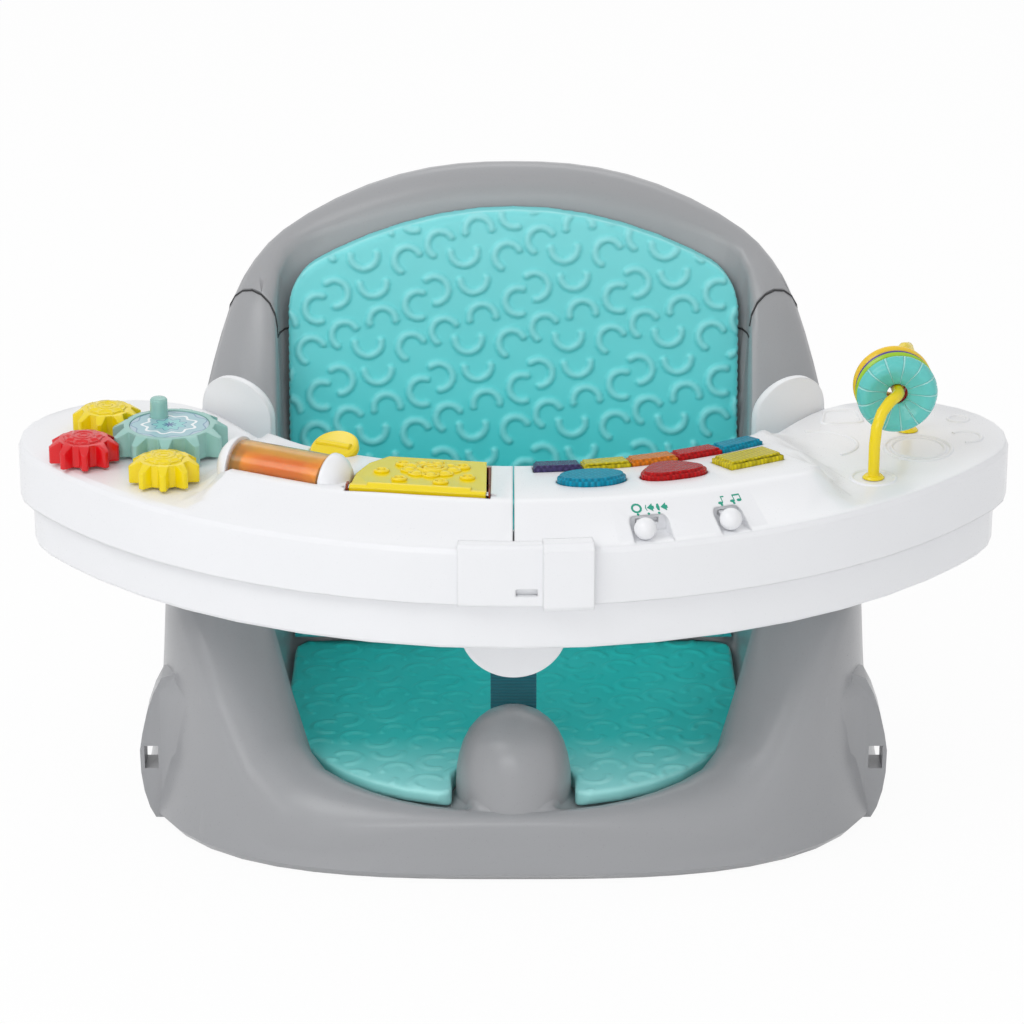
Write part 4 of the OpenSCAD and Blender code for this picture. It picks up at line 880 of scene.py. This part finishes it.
def makeMarks():
    console = surfaceOf("music_tray_housing")
    bm = bmesh.new()
    steps = marks["roundSteps"]
    circle = [(math.cos(math.tau * i / steps), math.sin(math.tau * i / steps))
              for i in range(steps)]
    inner, outer = marks["ring"]
    for middle in marks["rings"]:
        for (ax, ay), (bx, by) in zip(circle, circle[1:] + circle[:1]):
            addMark(bm, console, middle, [(ax * inner, ay * inner), (ax * outer, ay * outer),
                                          (bx * outer, by * outer), (bx * inner, by * inner)])
    for middle in marks["speakers"]:
        addMark(bm, console, middle, marks["speaker"])
    for middle, outline in marks["waves"]:
        addMark(bm, console, middle, outline)
    for middle in marks["dots"]:
        addMark(bm, console, middle, [(marks["dot"] * a, marks["dot"] * b) for a, b in circle])
    headX, headY = marks["noteHead"]
    for middle, heads, outline in marks["notes"]:
        addMark(bm, console, middle, outline)
        for hx, hy in heads:
            addMark(bm, console, middle, [(hx + headX * a, hy + headY * b) for a, b in circle])
    newPiece("switch_marks", bm, plasticOf["printGreen"],
             nodes["music_tray_housing"]["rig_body"], smoothAngle=60)


makeMarks()
print("reliefs and marks made")

# One tile of the pads' relief: the tile's two edges in mm, each arc's centre in mm along it,
# and the angles that the arc runs between. The trim in degrees comes off both its ends.
relief = {"across": (57.3, 2.1), "down": (2.3, -50.1), "radius": 7.6, "width": 2.2, "trim": 7,
          "arcs": [((48.8, -33.6), 172, 375), ((73.9, -36.2), 24, 246),
                   ((32.1, -55.4), -92, 135), ((54.2, -49.3), 178, 372),
                   ((79.9, -61.9), 64, 293), ((59.4, -71.2), -4, 199),
                   ((37.8, -79.4), 28, 243)]}


def arcDistance(offset, start, end):
    # Distance in mm to an arc about the origin, or to its nearer tip outside its angles
    turn = (np.degrees(np.arctan2(offset[:, 1], offset[:, 0])) - start) % 360
    away = np.abs(np.hypot(offset[:, 0], offset[:, 1]) - relief["radius"])
    ends = [relief["radius"] * np.array((math.cos(math.radians(q)), math.sin(math.radians(q))))
            for q in (start, end)]
    tips = np.minimum(*(np.hypot(*(offset - tip).T) for tip in ends))
    return np.where(turn <= end - start, away, tips)


def reliefShare(u, w):
    # 0 to 1 over the raised arcs, at points u along and w up the pad in mm
    basis = np.stack([np.array(relief["across"]), np.array(relief["down"])], 1)
    inverse = np.linalg.inv(basis)
    share = np.zeros(len(u))
    points = np.stack([u, w], 1)
    for centre, start, end in relief["arcs"]:
        near = np.round((points - centre) @ inverse.T)
        for step in [(a, b) for a in (-1, 0, 1) for b in (-1, 0, 1)]:
            distance = arcDistance(points - centre - (near + step) @ basis.T,
                                   start + relief["trim"], end - relief["trim"])
            rounded = np.clip(1 - (distance / relief["width"]) ** 2, 0, 1) ** 0.5
            share = np.maximum(share, rounded)
    return share


# Each pad: fineness of its mesh, height of the relief and start of the pattern in mm, lean of
# its face in degrees, the axis that runs up it, and the strength of the painted highlight on the
# ridges
pads = {"back_pad": {"voxel": 1.0, "height": 1.7, "milky": 0.26, "facing": (0, -0.981, 0.196),
                     "upAxis": 2, "lean": 11.31, "start": (134.4, -303.5)},
        "seat_pad": {"voxel": 1.15, "height": 0.75, "milky": 0.0, "facing": (0, 0, 1),
                     "upAxis": 1, "lean": 0, "start": (8.0, 12.0)}}

# Which way a spot faces, as the cosine from the pad's own facing: the relief fades in over
# the face span, and a painted highlight lies round the rim's middle
padEdge = {"face": (0.8, 0.95), "rim": 0.62, "rimSpread": 0.22, "rimHighlight": 0.5}


def evenMesh(piece, voxel):
    # The piece's form in cells of one size
    remesh = piece.modifiers.new("even", "REMESH")
    remesh.mode = "VOXEL"
    remesh.voxel_size = voxel * mm
    graph = bpy.context.evaluated_depsgraph_get()
    mesh = bpy.data.meshes.new_from_object(piece.evaluated_get(graph))
    piece.modifiers.clear()
    return mesh


def foamPiece(node, pad):
    # Even fine mesh in the CAD solid's form, softened, with the relief raised on its face
    bm = bmesh.new()
    bm.from_mesh(nodes[node].data)
    bmesh.ops.remove_doubles(bm, verts=bm.verts, dist=joining["gap"] * mm)
    piece = newPiece(node + "_foam", bm, foamOf[node], "seat", (node,), 60)
    mesh = evenMesh(piece, pad["voxel"])
    bm = bmesh.new()
    bm.from_mesh(mesh)
    for step in range(3):
        bmesh.ops.smooth_vert(bm, verts=bm.verts, factor=0.5, use_axis_x=True, use_axis_y=True,
                              use_axis_z=True)
    bm.normal_update()
    points = np.array([vert.co[:] for vert in bm.verts]) / mm
    toward = np.array([vert.normal[:] for vert in bm.verts]) @ np.array(pad["facing"])
    up = points[:, pad["upAxis"]] / math.cos(math.radians(pad["lean"]))
    faceFrom, faceTo = padEdge["face"]
    raised = (reliefShare(points[:, 0] + pad["start"][0], up + pad["start"][1])
              * np.clip((toward - faceFrom) / (faceTo - faceFrom), 0, 1))
    for vert, height in zip(bm.verts, raised * pad["height"] * mm):
        vert.co += vert.normal * height
    bm.to_mesh(mesh)
    bm.free()
    # Painted highlight: paler over the ridges, and round the edge of the face
    rim = np.exp(-((toward - padEdge["rim"]) / padEdge["rimSpread"]) ** 2)
    milky = np.clip(pad["milky"] * raised + padEdge["rimHighlight"] * rim, 0, 1)
    highlightShare = mesh.attributes.new("highlightShare", "FLOAT", "POINT")
    highlightShare.data.foreach_set("value", milky.astype(np.float32))
    old = piece.data
    piece.data = mesh
    bpy.data.meshes.remove(old)
    mesh.materials.clear()
    mesh.materials.append(foamOf[node])
    mesh.shade_smooth()


for node, pad in pads.items():
    foamPiece(node, pad)
print("foam pads made")

for node in ("crotch_strap", "waist_strap_left", "waist_strap_right"):
    refined(node, webbing, 0.3)
print("harness made")
